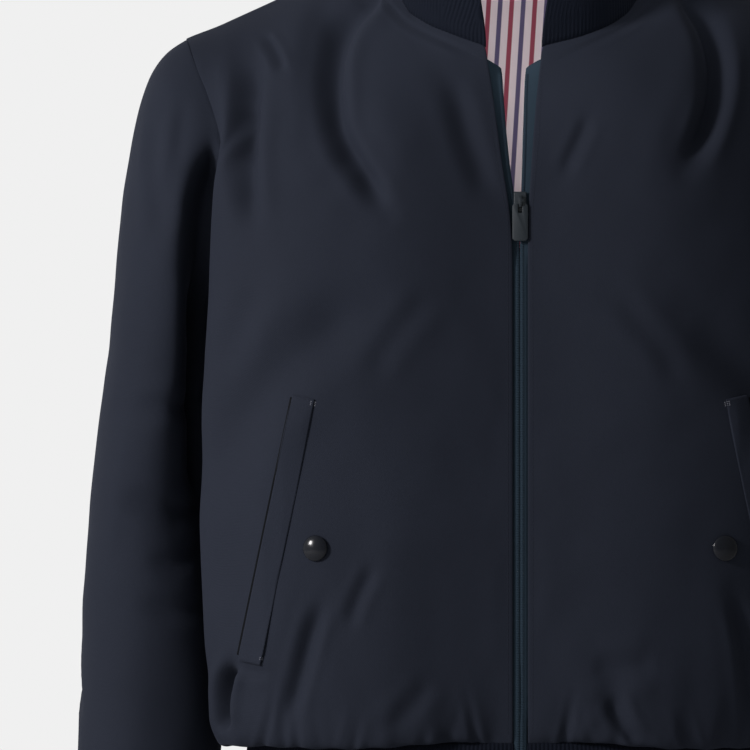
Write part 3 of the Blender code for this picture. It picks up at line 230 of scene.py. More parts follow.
# Cloths: colour, or its name in the sidebar; how much lighter the light fibres are; fibre and twill in mm;
# bump; sheen; roughness.
CLOTHS = {
    "wool_twill": ("cloth_colour", 2.1, 0.8, 1.0, 0.4, 0.035, 0.85),
    "rib_knit_yarn": ("rib_colour", 1.7, 0.35, 0.6, 0.5, 0.03, 0.85),
    "zip_tape_weave": ("tape_colour", 1.4, 0.3, 0.5, 0.4, 0.02, 0.85),
    "sewing_thread": ("thread_colour", 1.5, 0.15, 0.3, 0.3, 0.02, 0.6),
    # Real bartack thread, made lighter than the stitching thread as a painted highlight.
    "tack_thread": ((0.10, 0.105, 0.125), 1.4, 0.15, 0.3, 0.3, 0.02, 0.6),
    # Painted shadow: a near-black cloth for the shade in a pocket's mouth.
    "pocketing": ((0.0012, 0.0016, 0.0024), 1.4, 0.3, 0.5, 0.3, 0.01, 0.85),
}
HARD_FINISHES = {  # colour, noise scale and detail, roughness from and to, bump, metallic, specular, IOR
    "dark_painted_metal": ((0.012, 0.017, 0.022, 1), 900.0, 4.0, 0.38, 0.62, 0.08, 0.15, 0.35, 1.5),
    "black_enamel": ((0.005, 0.006, 0.009, 1), 600.0, 2.0, 0.14, 0.20, 0, 0, 0.28, 1.4),
}
WHITE, RED, NAVY = (0.78, 0.66, 0.70, 1), (0.30, 0.050, 0.085, 1), (0.10, 0.080, 0.17, 1)
STRIPES = (  # one red and one navy stripe: where each begins and ends
    (0.0, WHITE), (0.135, WHITE), (0.165, RED), (0.335, RED), (0.365, WHITE), (0.635, WHITE), (0.665, NAVY),
    (0.835, NAVY), (0.865, WHITE),
)
STRIPE_LEAN, STRIPE_START = -0.06, 0.36  # how far they lean, and where in a pair of them the middle is
RIBS = (  # node, flat size in m, and how many cuts along each of its quads
    ("collar", (0.45, 0.060), 11), ("cuff_right", (0.19, 0.062), 9), ("cuff_left", (0.19, 0.062), 9),
    ("hem_band", (0.96, 0.063), 12),
)
RIB_RUN = 0.35  # an edge runs round the ring if more than this share of it does
RIB_TURNS, RIB_WINDOW = 361, 7  # at how many angles the ring's radius is noted, and how many smooth it
RIB_FULL, RIB_BASE = 0.8, 0.55  # how round a rib is, and the share of it that lies in the solid

# The stage, in m. The camera sees what the photograph shows, at its scale.
PHOTO, PIXEL = 750, 0.68  # the photograph's width in pixels, and mm to a pixel
ORIGIN_RIGHT, ORIGIN_ABOVE = 520, 60  # where the origin is from its upper left corner, in pixels
CAMERA_AWAY, FRONT_Y, SENSOR = 12.0, -0.11, 36
FLOOR_SIZE, FLOOR_Z = 7.2, -0.80
LIGHTS = (  # name, kind, place, aim, size, power in W and colour
    ("key_light", "AREA", (-2.9, -1.75, 0.9), (-0.05, -0.08, -0.28), 0.7, 150, (1.0, 0.97, 0.97)),
    ("neck_light", "SPOT", (-0.1, -1.5, 0.6), (0.0, 0.08, -0.05), 0.12, 140, (1.0, 1.0, 1.0)),
)
SPOT_DEGREES, SPOT_BLEND = 7, 0.6
GLOWS = (  # the world's axis, from and to where along it, and its light there
    ("Y", 0.70, 0.95, 0.26, 0.871), ("X", 0.10, -0.90, 0.22, 0.75),
)


def looks():
    """The sizes and colours that the sidebar shows."""
    return bpy.context.scene.jacket_looks


# ---------------- pieces


def only(piece):
    """Selects one object alone, as a click would, and makes it the active one."""
    bpy.ops.object.select_all(action="DESELECT")
    bpy.context.view_layer.objects.active = piece
    piece.select_set(True)


def new_object(name, data):
    """A new object in the scene."""
    thing = bpy.data.objects.new(name, data)
    bpy.context.scene.collection.objects.link(thing)
    return thing


def new_piece(name, mesh, finish):
    """A new object with one finish."""
    piece = new_object(name, mesh)
    mesh.materials.clear()
    mesh.materials.append(finish_named(finish))
    return piece


def working_copy(node, name, finish):
    """A solid's mesh as quads: its corners merged and its triangles paired."""
    piece = new_piece(name, NODES[node].data.copy(), finish)
    only(piece)
    bpy.ops.object.mode_set(mode="EDIT")
    bpy.ops.mesh.select_all(action="SELECT")
    bpy.ops.mesh.remove_doubles(threshold=0.01 * MM)
    bpy.ops.mesh.tris_convert_to_quads(face_threshold=math.pi, shape_threshold=math.pi)
    bpy.ops.object.mode_set(mode="OBJECT")
    return piece


def crease_rims(piece, wall, reach, beside):
    """Keeps a cloth's cut ends crisp, lets them meet the solids beside them, and gives points along them."""
    mesh = bmesh.new()
    mesh.from_mesh(piece.data)
    creases = mesh.edges.layers.float.new("crease_edge")
    pushes = {}
    for face in mesh.faces:
        bends = [edge for edge in face.edges if edge.calc_face_angle(0) > RIM_BEND]
        if len(bends) < 2 or min(edge.calc_length() for edge in face.edges) > RIM_WIDTH * wall:
            continue
        for edge in bends:
            edge[creases] = RIM_CREASE
        for vertex in face.verts:
            pushes.setdefault(vertex, []).append(face.normal.copy())
    seams = set()
    for ground in (ground_of(NODES[node]) for node in beside):
        for edge in mesh.edges:
            nearest = [ground.find_nearest(vertex.co, SEAM_GAP) for vertex in edge.verts]
            if all(place[0] for place in nearest) and edge.calc_face_angle(0) > SEAM_BEND:
                edge[creases] = SEAM_CREASE
                seams.add(edge)
                for vertex, place in zip(edge.verts, nearest):
                    pushes.setdefault(vertex, []).append((place[0] - vertex.co).normalized())
    for vertex, normals in pushes.items():
        vertex.co += reach * sum(normals, Vector()).normalized()
    ends = seams | {edge for vertex in pushes for edge in vertex.link_edges if edge[creases] > 0}
    along = KDTree(RIM_POINTS * len(ends))
    for place, edge in enumerate(ends):
        first, second = (vertex.co for vertex in edge.verts)
        for step in range(RIM_POINTS):
            along.insert(first.lerp(second, step / (RIM_POINTS - 1)), RIM_POINTS * place + step)
    along.balance()
    mesh.to_mesh(piece.data)
    mesh.free()
    return along


def calm(points, rim, reach, still=1.2 * MM):
    """0 beside a cloth's rims and seams and 1 beyond a reach, so that seams stay shut."""
    return ramp(np.array([rim.find(Vector(point))[2] for point in points]), still, reach)


def smooth_step(share):
    """A soft step from 0 to 1."""
    share = np.clip(share, 0, 1)
    return share * share * (3 - 2 * share)


def ramp(values, start, over):
    """A soft step that sets in at a start and grows over a way, downwards if the way is negative."""
    return smooth_step((values - start) / over)


def settled(points, limb=False):
    """Points moved to where the worn cloth settles beside its solid; a limb is a sleeve or a cuff."""
    across, z = np.abs(points[:, 0]) / MM, points[:, 2] / MM
    reach = ramp(across, *SHIFT_OUTSIDE)
    out = np.interp(z, *zip(*SLEEVE_SHIFT))
    rise = np.interp(across, *zip(*SHOULDER_LIFT)) * ramp(z, *LIFT_ABOVE)
    if limb:
        middle, _ = sleeve_middle(z)
        inner = smooth_step((middle - across) / INNER_REACH)
        swell_z, swell_reach, swell = INNER_SWELL
        out = out * (1 - inner * ramp(z, *INNER_STILL))
        out = out - swell * inner * np.exp(-((z - swell_z) / swell_reach) ** 2)
        out = np.maximum(reach, ramp(z, *LIMB_SHIFT)) * out
        rise = rise + HEAD_LIFT[2] * ramp(z, *HEAD_LIFT[:2])
    else:
        out = reach * ramp(z, *BODY_SHIFT) * out
        for x, height, wide, tall, move_x, move_z in BODY_SETTLE:
            near = np.exp(-((across - x) / wide) ** 2 - ((z - height) / tall) ** 2)
            out, rise = out + near * move_x, rise + near * move_z
    return points + np.column_stack([np.sign(points[:, 0]) * out, np.zeros(len(points)), rise]) * MM


def subdivide(piece, levels):
    """Subdivides a piece softly, for good."""
    only(piece)
    fold = piece.modifiers.new("Soft", "SUBSURF")
    fold.levels = fold.render_levels = levels
    bpy.ops.object.modifier_apply(modifier=fold.name)


def smooth(piece, degrees):
    """Smooth shading up to an angle, so that rims stay crisp."""
    only(piece)
    bpy.ops.object.shade_smooth_by_angle(angle=math.radians(degrees))


def soft_copy(node, name, finish, wall, levels, beside=(), reach=RIM_REACH):
    """A working copy, subdivided with crisp rims, and the points along them."""
    piece = working_copy(node, name, finish)
    rim = crease_rims(piece, wall, reach, beside)
    subdivide(piece, levels)
    return piece, rim


def points_of(piece):
    """A piece's points as an array, in metres."""
    points = np.empty(len(piece.data.vertices) * 3)
    piece.data.vertices.foreach_get("co", points)
    return points.reshape(-1, 3)


def plane_of(points):
    """The x and z of points, in mm."""
    return points[:, (0, 2)] / MM


def finish_piece(piece, node=None, body="jacket"):
    """Ties a piece to its body, and hides the solid that it stands for."""
    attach(piece, body)
    if node:
        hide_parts(node)


def dress(piece, points, node, degrees=50):
    """Gives a piece its points, its shading and its ties."""
    piece.data.vertices.foreach_set("co", points.ravel())
    piece.data.update()
    smooth(piece, degrees)
    finish_piece(piece, node)


# ---------------- creases


def crease(distance, width, depth, ridge):
    """A soft trough with a low ridge on each side of it."""
    near = np.exp(-(distance / (0.5 * width)) ** 2)
    beside = np.exp(-((distance - 0.95 * width) / (0.45 * width)) ** 2)
    return ridge * beside - depth * near


def rounded(path):
    """A path with its corners cut off twice, so that a crease bends softly."""
    path = np.array(path, float)
    for _ in range(2):
        near, far = path[:-1] * 0.75 + path[1:] * 0.25, path[:-1] * 0.25 + path[1:] * 0.75
        middle = np.stack([near, far], axis=1).reshape(-1, 2)
        path = np.vstack([path[:1], middle[1:-1], path[-1:]])
    return path


def away_from(points, path):
    """How far points are from a path and, along it, from its nearer end, and how long it is."""
    path = rounded(path)
    best = np.full(len(points), np.inf)
    to_end = np.zeros(len(points))
    lengths = np.linalg.norm(np.diff(path, axis=0), axis=1)
    starts = np.concatenate([[0], np.cumsum(lengths)])
    for index, length in enumerate(lengths):
        step = (path[index + 1] - path[index]) / length
        offset = points - path[index]
        run = np.clip(offset @ step, 0, length)
        gap = np.linalg.norm(offset - run[:, None] * step, axis=1)
        closer = gap < best
        best[closer] = gap[closer]
        along = starts[index] + run[closer]
        to_end[closer] = np.minimum(along, starts[-1] - along)
    return best, to_end, starts[-1]


def creased(plane_points, creases):
    """The height of all creases at points of a plane, in mm."""
    height = np.zeros(len(plane_points))
    share, most = CREASE_FADE
    for width, depth, ridge, path in creases:
        distance, to_end, length = away_from(plane_points, path)
        fade = CREASE_END + (1 - CREASE_END) * smooth_step(to_end / min(share * length, most))
        height += fade * crease(distance, width, depth, ridge)
    return height


def gather(points, count, seed, low, high):
    """The height of small uneven pleats that run up from the hem, in mm."""
    chance = random.Random(seed)
    places = [low + (high - low) * (index + chance.uniform(-0.38, 0.38)) / count for index in range(count + 1)]
    height = np.zeros(len(points))
    for place in places:
        width, depth = chance.uniform(*GATHER_WIDTHS), chance.choice(GATHER_DEPTHS)
        top, lean = chance.uniform(*GATHER_TOPS), chance.uniform(-GATHER_LEAN, GATHER_LEAN)
        rise = np.clip((points[:, 1] - HEM_Z) / top, 0, 1)
        distance = np.abs(points[:, 0] - place - lean * (points[:, 1] - HEM_Z))
        height += (1 - rise) ** 1.3 * crease(distance, width, depth, 0.4 * depth)
    return height


def sleeve_middle(z):
    """|x| and y of a sleeve's middle line at heights, in mm."""
    heights, across, deep = zip(*SLEEVE_MIDDLE)
    return np.interp(z, heights, across), np.interp(z, heights, deep)


def round_sleeve(points, side):
    """Degrees round a sleeve and the outward direction there."""
    across, deep = sleeve_middle(points[:, 2] / MM)
    offset = points - np.column_stack([across * SIGN[side], deep, points[:, 2] / MM]) * MM
    offset[:, 2] = 0
    outward = offset / np.maximum(np.linalg.norm(offset, axis=1), 1e-6)[:, None]
    return np.degrees(np.arctan2(-offset[:, 1], offset[:, 0] * SIGN[side])), outward


def sleeve_creased(points, degrees, creases):
    """The height of a sleeve's creases, in mm."""
    height = np.zeros(len(points))
    scale = math.radians(1) * SLEEVE_GIRTH
    for width, depth, ridge, path in creases:
        middle = sum(turn for turn, _ in path) / len(path)
        near = (degrees - middle + 180) % 360 - 180 + middle
        plane = np.column_stack([near * scale, points[:, 2] / MM])
        height += creased(plane, [(width, depth, ridge, [(turn * scale, z) for turn, z in path])])
    return height


def rumpled(points, amount):
    """The height of the low uneven waves that all the cloth has, in mm."""
    height = np.zeros(len(points))
    for size, high, seed in WAVES:
        height += high * np.array([noise.noise(Vector(place)) for place in points / size + seed])
    return amount * height


def body_outward(points):
    """The direction away from the body's middle, for the fronts and the back."""
    wide, deep = BODY_ROUND
    across = np.column_stack([points[:, 0] / wide ** 2, points[:, 1] / deep ** 2, np.zeros(len(points))])
    return across / np.linalg.norm(across, axis=1)[:, None]


# ---------------- finishes


def put(node, **values):
    """Sets a node's own values and those of its inputs, whose names have _ for a space."""
    for key, value in values.items():
        if hasattr(node, key):
            setattr(node, key, value)
        else:
            node.inputs[key.replace("_", " ")].default_value = value
    return node


def node_tools(tree):
    """Two helpers for a tree of nodes: one adds a node, the other joins outputs to inputs."""
    def add(kind, *inputs, **values):
        node = put(tree.nodes.new(f"ShaderNode{kind}"), **values)
        for index, value in enumerate(inputs, 1):
            node.inputs[index].default_value = value
        return node

    def join(*pairs):
        for source, output, target, name in pairs:
            tree.links.new(source.outputs[output], target.inputs[name])

    return add, join


def new_finish(name):
    """A new finish, its shader, and helpers to add and join nodes."""
    finish = bpy.data.materials.new(name)
    finish.use_nodes = True
    return finish, finish.node_tree.nodes["Principled BSDF"], *node_tools(finish.node_tree)


def cloth_finish(name):
    """Matt cloth: fine fibres in two tones, a faint twill and a cool sheen."""
    colour, light, grain, twill, bump, sheen, roughness = CLOTHS[name]
    if isinstance(colour, str):
        colour = getattr(looks(), colour)
    finish, shader, add, join = new_finish(name)
    place = add("TexCoord")
    fibres = add("TexNoise", Scale=1.0 / (grain * MM), Detail=3.0, Roughness=0.6)
    clouds = add("TexNoise", Scale=9.0, Detail=3.0)
    lines = add("TexWave", wave_type="BANDS", bands_direction="DIAGONAL", Distortion=1.4, Detail=2.0,
                Scale=2 * math.pi / (10 * twill * MM))
    tones = add("Mix", data_type="RGBA", A=(*colour, 1), B=(*[c * light for c in colour], 1))
    share = add("Math", 0.6, operation="MULTIPLY_ADD")
    cloud_share = add("Math", 0.4, operation="MULTIPLY")
    half = add("Math", 0.5, operation="MULTIPLY")
    heights = add("Math", operation="ADD")
    lift = add("Bump", Strength=bump, Distance=0.25 * MM)
    join((place, "Object", fibres, "Vector"), (place, "Object", clouds, "Vector"),
         (place, "Object", lines, "Vector"), (clouds, "Fac", cloud_share, 0), (fibres, "Fac", share, 0),
         (cloud_share, 0, share, 2), (share, 0, tones, "Factor"), (tones, "Result", shader, "Base Color"),
         (lines, "Fac", half, 0), (half, 0, heights, 0), (fibres, "Fac", heights, 1),
         (heights, 0, lift, "Height"), (lift, "Normal", shader, "Normal"))
    put(shader, Roughness=roughness, Specular_IOR_Level=0.08, Sheen_Weight=sheen, Sheen_Roughness=0.35,
        Sheen_Tint=(0.62, 0.70, 1.0, 1))
    return finish


def hard_finish(name):
    """Painted metal or enamel, with an uneven gloss."""
    colour, scale, detail, low, high, bump, metallic, specular, bend = HARD_FINISHES[name]
    finish, shader, add, join = new_finish(name)
    place = add("TexCoord")
    rub = add("TexNoise", Scale=scale, Detail=detail)
    gloss = add("MapRange", To_Min=low, To_Max=high)
    join((place, "Object", rub, "Vector"), (rub, "Fac", gloss, "Value"),
         (gloss, "Result", shader, "Roughness"))
    if bump:
        lift = add("Bump", Strength=bump, Distance=0.1 * MM)
        join((rub, "Fac", lift, "Height"), (lift, "Normal", shader, "Normal"))
    put(shader, Base_Color=colour, Metallic=metallic, Specular_IOR_Level=specular, IOR=bend)
    return finish


def striped_finish(name):
    """Plain woven shirting: white with narrow red and navy stripes by turns."""
    finish, shader, add, join = new_finish(name)
    place = add("TexCoord")
    axes = add("SeparateXYZ")
    lean = add("Math", STRIPE_LEAN, operation="MULTIPLY_ADD")
    turn = add("Math", 1 / (looks().stripe_pitch * 2), STRIPE_START, operation="MULTIPLY_ADD")
    share = add("Math", operation="FRACT")
    stripes = add("ValToRGB")
    ramp_stops = stripes.color_ramp.elements
    for index, (at, colour) in enumerate(STRIPES):
        stop = ramp_stops[index] if index < 2 else ramp_stops.new(at)
        stop.position = at
        stop.color = colour
    weave = add("TexNoise", Scale=1400.0, Detail=2.0)
    lift = add("Bump", Strength=0.15, Distance=0.15 * MM)
    join((place, "Object", axes, 0), (axes, "Z", lean, 0), (axes, "X", lean, 2), (lean, 0, turn, 0),
         (turn, 0, share, 0), (share, 0, stripes, "Fac"), (stripes, "Color", shader, "Base Color"),
         (place, "Object", weave, "Vector"), (weave, "Fac", lift, "Height"), (lift, "Normal", shader, "Normal"))
    put(shader, Roughness=0.8)
    return finish


def studio_world():
    """A pale backdrop behind the jacket, a soft glow from its right side, and dimmer light from elsewhere."""
    world = bpy.data.worlds.new("studio")
    world.use_nodes = True
    add, join = node_tools(world.node_tree)
    axes = add("SeparateXYZ")
    glow = add("Math", operation="MAXIMUM")
    join((add("TexCoord"), "Generated", axes, 0), (glow, 0, world.node_tree.nodes["Background"], "Color"))
    for index, (axis, low, high, dim, bright) in enumerate(GLOWS):
        shade = add("MapRange", interpolation_type="SMOOTHSTEP", From_Min=low, From_Max=high, To_Min=dim,
                    To_Max=bright)
        join((axes, axis, shade, "Value"), (shade, "Result", glow, index))
    return world


def finish_named(name):
    """The jacket's finishes, each made once."""
    if name in bpy.data.materials:
        return bpy.data.materials[name]
    if name in CLOTHS:
        return cloth_finish(name)
    return hard_finish(name) if name in HARD_FINISHES else striped_finish(name)


# ---------------- sizes and colours


class JacketLooks(bpy.types.PropertyGroup):
    """Sizes and colours of the jacket that a user would change."""

    rib_pitch: bpy.props.FloatProperty(
        name="Rib pitch", description="From one rib of the knit to the next", default=2.8 * MM, unit="LENGTH")
    rib_height: bpy.props.FloatProperty(
        name="Rib height", description="How far a rib stands out of the knit", default=0.7 * MM, unit="LENGTH")
    stripe_pitch: bpy.props.FloatProperty(
        name="Stripe pitch", description="From one coloured stripe of the lining to the next",
        default=8.0 * MM, unit="LENGTH")
    stitch_length: bpy.props.FloatProperty(
        name="Stitch length", description="One stitch with its gap", default=3.0 * MM, unit="LENGTH")
    cloth_colour: bpy.props.FloatVectorProperty(
        name="Wool", description="Colour of the outer cloth", subtype="COLOR", size=3,
        default=(0.0072, 0.0088, 0.0138))
    rib_colour: bpy.props.FloatVectorProperty(
        name="Rib knit", description="Colour of the collar, cuffs and hem band", subtype="COLOR", size=3,
        default=(0.0017, 0.0027, 0.0058))
    tape_colour: bpy.props.FloatVectorProperty(
        name="Zip tape", description="Colour of the zip's tapes", subtype="COLOR", size=3,
        default=(0.0125, 0.0215, 0.0315))
    thread_colour: bpy.props.FloatVectorProperty(
        name="Thread", description="Colour of the topstitching", subtype="COLOR", size=3,
        default=(0.0096, 0.0114, 0.0178))


# ---------------- operators


def mirrored(path, side):
    """A path of |x| and z on one side of the jacket."""
    return [(SIGN[side] * x, z) for x, z in path]


def front_height(points, side):
    """The heights of a front's creases and of its waves in mm, without its gathered hem."""
    neck_groove = (*NECK_GROOVE, mirrored(NECK_STITCHES, side))
    return creased(plane_of(points), [*FRONT_CREASES[side], neck_groove]), rumpled(points, FRONT_WAVES)


class JacketFronts(bpy.types.Operator):
    """The two fronts, with their finer creases."""

    bl_idname = "jacket.fronts"
    bl_label = "Fronts"

    def execute(self, context):
        for side in SIGN:
            node = f"front_{side}"
            beside = ("back", "collar", f"sleeve_{side}")
            piece, rim = soft_copy(node, f"wool_{node}", "wool_twill", WOOL, 3, beside)
            points = points_of(piece)
            plane = np.abs(plane_of(points)) * (1, -1)
            creases, waves = front_height(points, side)
            height = creases * calm(points, rim, CREASE_CALM) + waves * calm(points, rim, WAVE_CALM)
            height += ramp(plane[:, 0], *FRONT_BLEND) * gather(plane, *HEM_GATHERS["front"])
            points = settled(points + body_outward(points) * height[:, None] * MM)
            dress(piece, points, node)
        return {"FINISHED"}


class JacketBack(bpy.types.Operator):
    """The back panel."""

    bl_idname = "jacket.back"
    bl_label = "Back"

    def execute(self, context):
        beside = ("front_right", "front_left", "sleeve_right", "sleeve_left", "collar")
        piece, rim = soft_copy("back", "wool_back", "wool_twill", WOOL, 2, beside)
        points = points_of(piece)
        plane = plane_of(points)
        height = creased(plane, BACK_CREASES) * calm(points, rim, CREASE_CALM)
        height += rumpled(points, BACK_WAVES) * calm(points, rim, WAVE_CALM)
        count, seed, low, high = HEM_GATHERS["back"]
        for sign in (-1, 1):
            half = smooth_step(sign * plane[:, 0] / BACK_BLEND + 0.5)
            height += half * gather(plane * (sign, 1), count, seed + sign, low, high)
        points = settled(points + body_outward(points) * height[:, None] * MM)
        dress(piece, points, "back")
        return {"FINISHED"}


class JacketSleeves(bpy.types.Operator):
    """The two sleeves."""

    bl_idname = "jacket.sleeves"
    bl_label = "Sleeves"

    def execute(self, context):
        for side in SIGN:
            node = f"sleeve_{side}"
            beside = (f"front_{side}", "back", f"cuff_{side}")
            piece, rim = soft_copy(node, f"wool_{node}", "wool_twill", WOOL, 3, beside)
            points = points_of(piece)
            degrees, outward = round_sleeve(points, side)
            height = sleeve_creased(points, degrees, SLEEVE_CREASES[side]) * calm(points, rim, CREASE_CALM)
            height += sleeve_creased(points, degrees, [SLEEVE_CLEFT]) * calm(points, rim, *CLEFT_CALM)
            height += rumpled(points, SLEEVE_WAVES) * calm(points, rim, WAVE_CALM)
            points = settled(points + outward * height[:, None] * MM, limb=True)
            dress(piece, points, node)
        return {"FINISHED"}


class JacketRibs(bpy.types.Operator):
    """The collar, the cuffs and the hem band, in rib knit."""

    bl_idname = "jacket.ribs"
    bl_label = "Ribs"

    def execute(self, context):
        for node, flat, cuts in RIBS:
            piece, _ = soft_copy(node, f"knit_{node}", "rib_knit_yarn", KNIT, 1, reach=KNIT_REACH)
            points = ribbed(piece, cuts, looks().rib_pitch, looks().rib_height)
            if node.startswith("cuff"):
                points = settled(points, limb=True)
            dress(piece, points, node, 60)
        return {"FINISHED"}


def ribbed(piece, cuts, pitch, height):
    """Cuts a knitted ring finely along its length, and gives its points with the ribs raised."""
    mesh = bmesh.new()
    mesh.from_mesh(piece.data)
    centre = sum((vertex.co for vertex in mesh.verts), Vector()) / len(mesh.verts)

    def turned(co):
        return math.atan2(co.x - centre.x, co.y - centre.y)

    level = []
    for edge in mesh.edges:
        first, second = (vertex.co for vertex in edge.verts)
        turn = abs(turned(first) - turned(second))
        turn = min(turn, 2 * math.pi - turn)
        reach = math.hypot(first.x - centre.x, first.y - centre.y)
        if turn * reach > RIB_RUN * (first - second).length:
            level.append(edge)
    bmesh.ops.subdivide_edges(mesh, edges=level, cuts=cuts, use_grid_fill=True)
    mesh.to_mesh(piece.data)
    mesh.free()
    points, normals = points_of(piece), np.array([vertex.normal for vertex in piece.data.vertices])
    offset = points[:, :2] - np.array(centre[:2])
    angle = np.arctan2(offset[:, 0], offset[:, 1])
    reach = np.linalg.norm(offset, axis=1)
    outward = offset / reach[:, None]
    facing = np.clip((normals[:, :2] * outward).sum(axis=1), 0, 1)
    table = np.linspace(-math.pi, math.pi, RIB_TURNS)
    outer = facing > 0.5
    order = np.argsort(angle[outer])
    radius = np.interp(table, angle[outer][order], reach[outer][order])
    radius = np.pad(radius, RIB_WINDOW // 2, mode="wrap")
    radius = np.convolve(radius, np.full(RIB_WINDOW, 1 / RIB_WINDOW), mode="valid")
    length = np.concatenate([[0], np.cumsum(np.hypot(np.diff(radius), radius[:-1] * np.diff(table)))])
    count = round(length[-1] / pitch)
    along = np.interp(angle, table, length) * count / length[-1]
    ridge = np.abs(np.sin(math.pi * along)) ** RIB_FULL
    points[:, :2] += outward * (facing * height * (ridge - RIB_BASE))[:, None]
    return points


class JacketLining(bpy.types.Operator):
    """The striped back lining, which shows in the neck."""

    bl_idname = "jacket.lining"
    bl_label = "Lining"

    def execute(self, context):
        piece, _ = soft_copy("lining_back", "striped_back_lining", "striped_shirting", THIN, 3)
        points = points_of(piece)
        height = creased(plane_of(points), LINING_CREASES)
        dress(piece, points - body_outward(points) * height[:, None] * MM, "lining_back")
        return {"FINISHED"}


class JacketPockets(bpy.types.Operator):
    """The slanted pocket welts, a near-black strip of painted shadow in each mouth, bartacks in a lighter
    thread that paints their highlight, and press studs.
    """

    bl_idname = "jacket.pockets"
    bl_label = "Pockets"

    def execute(self, context):
        for side in SIGN:
            welt, _ = soft_copy(f"welt_{side}", f"wool_welt_{side}", "wool_twill", WOOL, 2, reach=0)
            points = points_of(welt)
            sink = np.interp(across_welt(points), *zip(*WELT_SINK))
            creases, waves = front_height(points, side)
            points = points + body_outward(points) * ((creases + waves - sink) * MM)[:, None]
            dress(welt, points, f"welt_{side}")

            stud = working_copy(f"snap_{side}", f"stud_{side}", "black_enamel")
            subdivide(stud, 2)
            points = points_of(stud)
            middle = points.mean(axis=0)
            creases, waves = front_height(middle[None], side)
            points = points + body_outward(middle[None]) * (creases + waves) * MM
            dress(stud, points, f"snap_{side}", 35)

            ground = ground_of(welt, bpy.data.objects[f"wool_front_{side}"])
            line = mirrored(welt_line(*MOUTH_SHADOW_LINE), side)
            # Painted shadow: a near-black strip laid where the pocket's mouth is shaded.
            mouth = painted_shadow_strip(f"pocket_mouth_{side}", ground, line, "pocketing")
            finish_piece(mouth)
            # The bartacks' light grey thread is a painted highlight.
            tack = stitch_rows(f"bartacks_{side}", ground, tack_runs(side), 1.5 * MM, 0.7 * MM, "tack_thread")
            finish_piece(tack)
        return {"FINISHED"}


def welt_axes():
    """A welt's upper end and the directions down it and across it, in |x| and z."""
    top, foot = (np.array(place, float) for place in WELT_ENDS)
    down = (foot - top) / np.linalg.norm(foot - top)
    return top, down, np.array([-down[1], down[0]])


def welt_line(across, *along):
    """Points at a distance across a welt, outwards from the zip, and at distances down it, in mm."""
    top, down, outward = welt_axes()
    return [tuple(top + down * way + outward * across) for way in along]


def across_welt(points):
    """How far points lie from a welt's middle line, outwards from the zip, in mm."""
    top, _, outward = welt_axes()
    return (np.column_stack([np.abs(points[:, 0]), points[:, 2]]) / MM - top) @ outward


def tack_runs(side):
    """Short bars of thread across a welt's corners."""
    return [mirrored(welt_line(TACK_EDGE, along) + welt_line(TACK_EDGE + wide, along), side)
            for along, wide in TACKS]


def ground_of(*pieces):
    """What thread and trims are laid on: the faces of finished pieces."""
    points, faces = [], []
    for piece in pieces:
        start = len(points)
        points += [vertex.co.copy() for vertex in piece.data.vertices]
        faces += [[start + corner for corner in face.vertices] for face in piece.data.polygons]
    return BVHTree.FromPolygons(points, faces)


def laid(ground, x, z):
    """The place and normal where a line from the front meets the ground, x and z in mm."""
    return ground.ray_cast(Vector((x * MM, -0.5, z * MM)), Vector((0, 1, 0)))[:2]


def stepped(path, step):
    """Points along a path of x and z, a step apart, in mm."""
    path = np.array(path, float)
    lengths = np.concatenate([[0], np.cumsum(np.linalg.norm(np.diff(path, axis=0), axis=1))])
    at = np.linspace(0, lengths[-1], max(2, round(lengths[-1] / step) + 1))
    return np.column_stack([np.interp(at, lengths, path[:, 0]), np.interp(at, lengths, path[:, 1])])


def copies(name, model, places):
    """Copies a small model to many places and joins the copies into one piece."""
    made = []
    for place in places:
        copy = new_object(name, model.data.copy())
        copy.data.transform(place)
        made.append(copy)
    bpy.data.objects.remove(model)
    only(made[0])
    for copy in made:
        copy.select_set(True)
    bpy.ops.object.join()
    smooth(made[0], 60)
    return made[0]


def lying(start, end, normal, lift):
    """The matrix that lays a model's length from start to end on a surface."""
    along = (end - start).normalized()
    across = normal.cross(along).normalized()
    turn = Matrix((along, across, along.cross(across))).transposed().to_4x4()
    return Matrix.Translation((start + end) / 2 + lift * normal) @ turn


def sized(scale, finish):
    """The primitive that was just added, scaled for good, with its finish."""
    model = bpy.context.object
    model.scale = scale
    bpy.ops.object.transform_apply(scale=True)
    model.data.materials.append(finish_named(finish))
    return model


def stitch_rows(name, ground, runs, length, thick, finish):
    """Rows of single stitches along paths of x and z in mm."""
    bpy.ops.mesh.primitive_uv_sphere_add(segments=6, ring_count=4, radius=1)
    stitch = sized([share * size for share, size in zip(STITCH_SHAPE, (length, thick, thick))], finish)
    places = []
    for run in runs:
        places += along_ground(ground, stepped(run, length / MM), STITCH_GAP * length, STITCH_LIFT * thick)
    return copies(name, stitch, places)


def along_ground(ground, path, gap, lift):
    """Matrices that lay a model between each two points of a path, where they are less than a gap apart."""
    landed = [laid(ground, x, z) for x, z in path]
    return [lying(start, end, normal, lift) for (start, normal), (end, _) in zip(landed, landed[1:])
            if start and end and (end - start).length < gap]


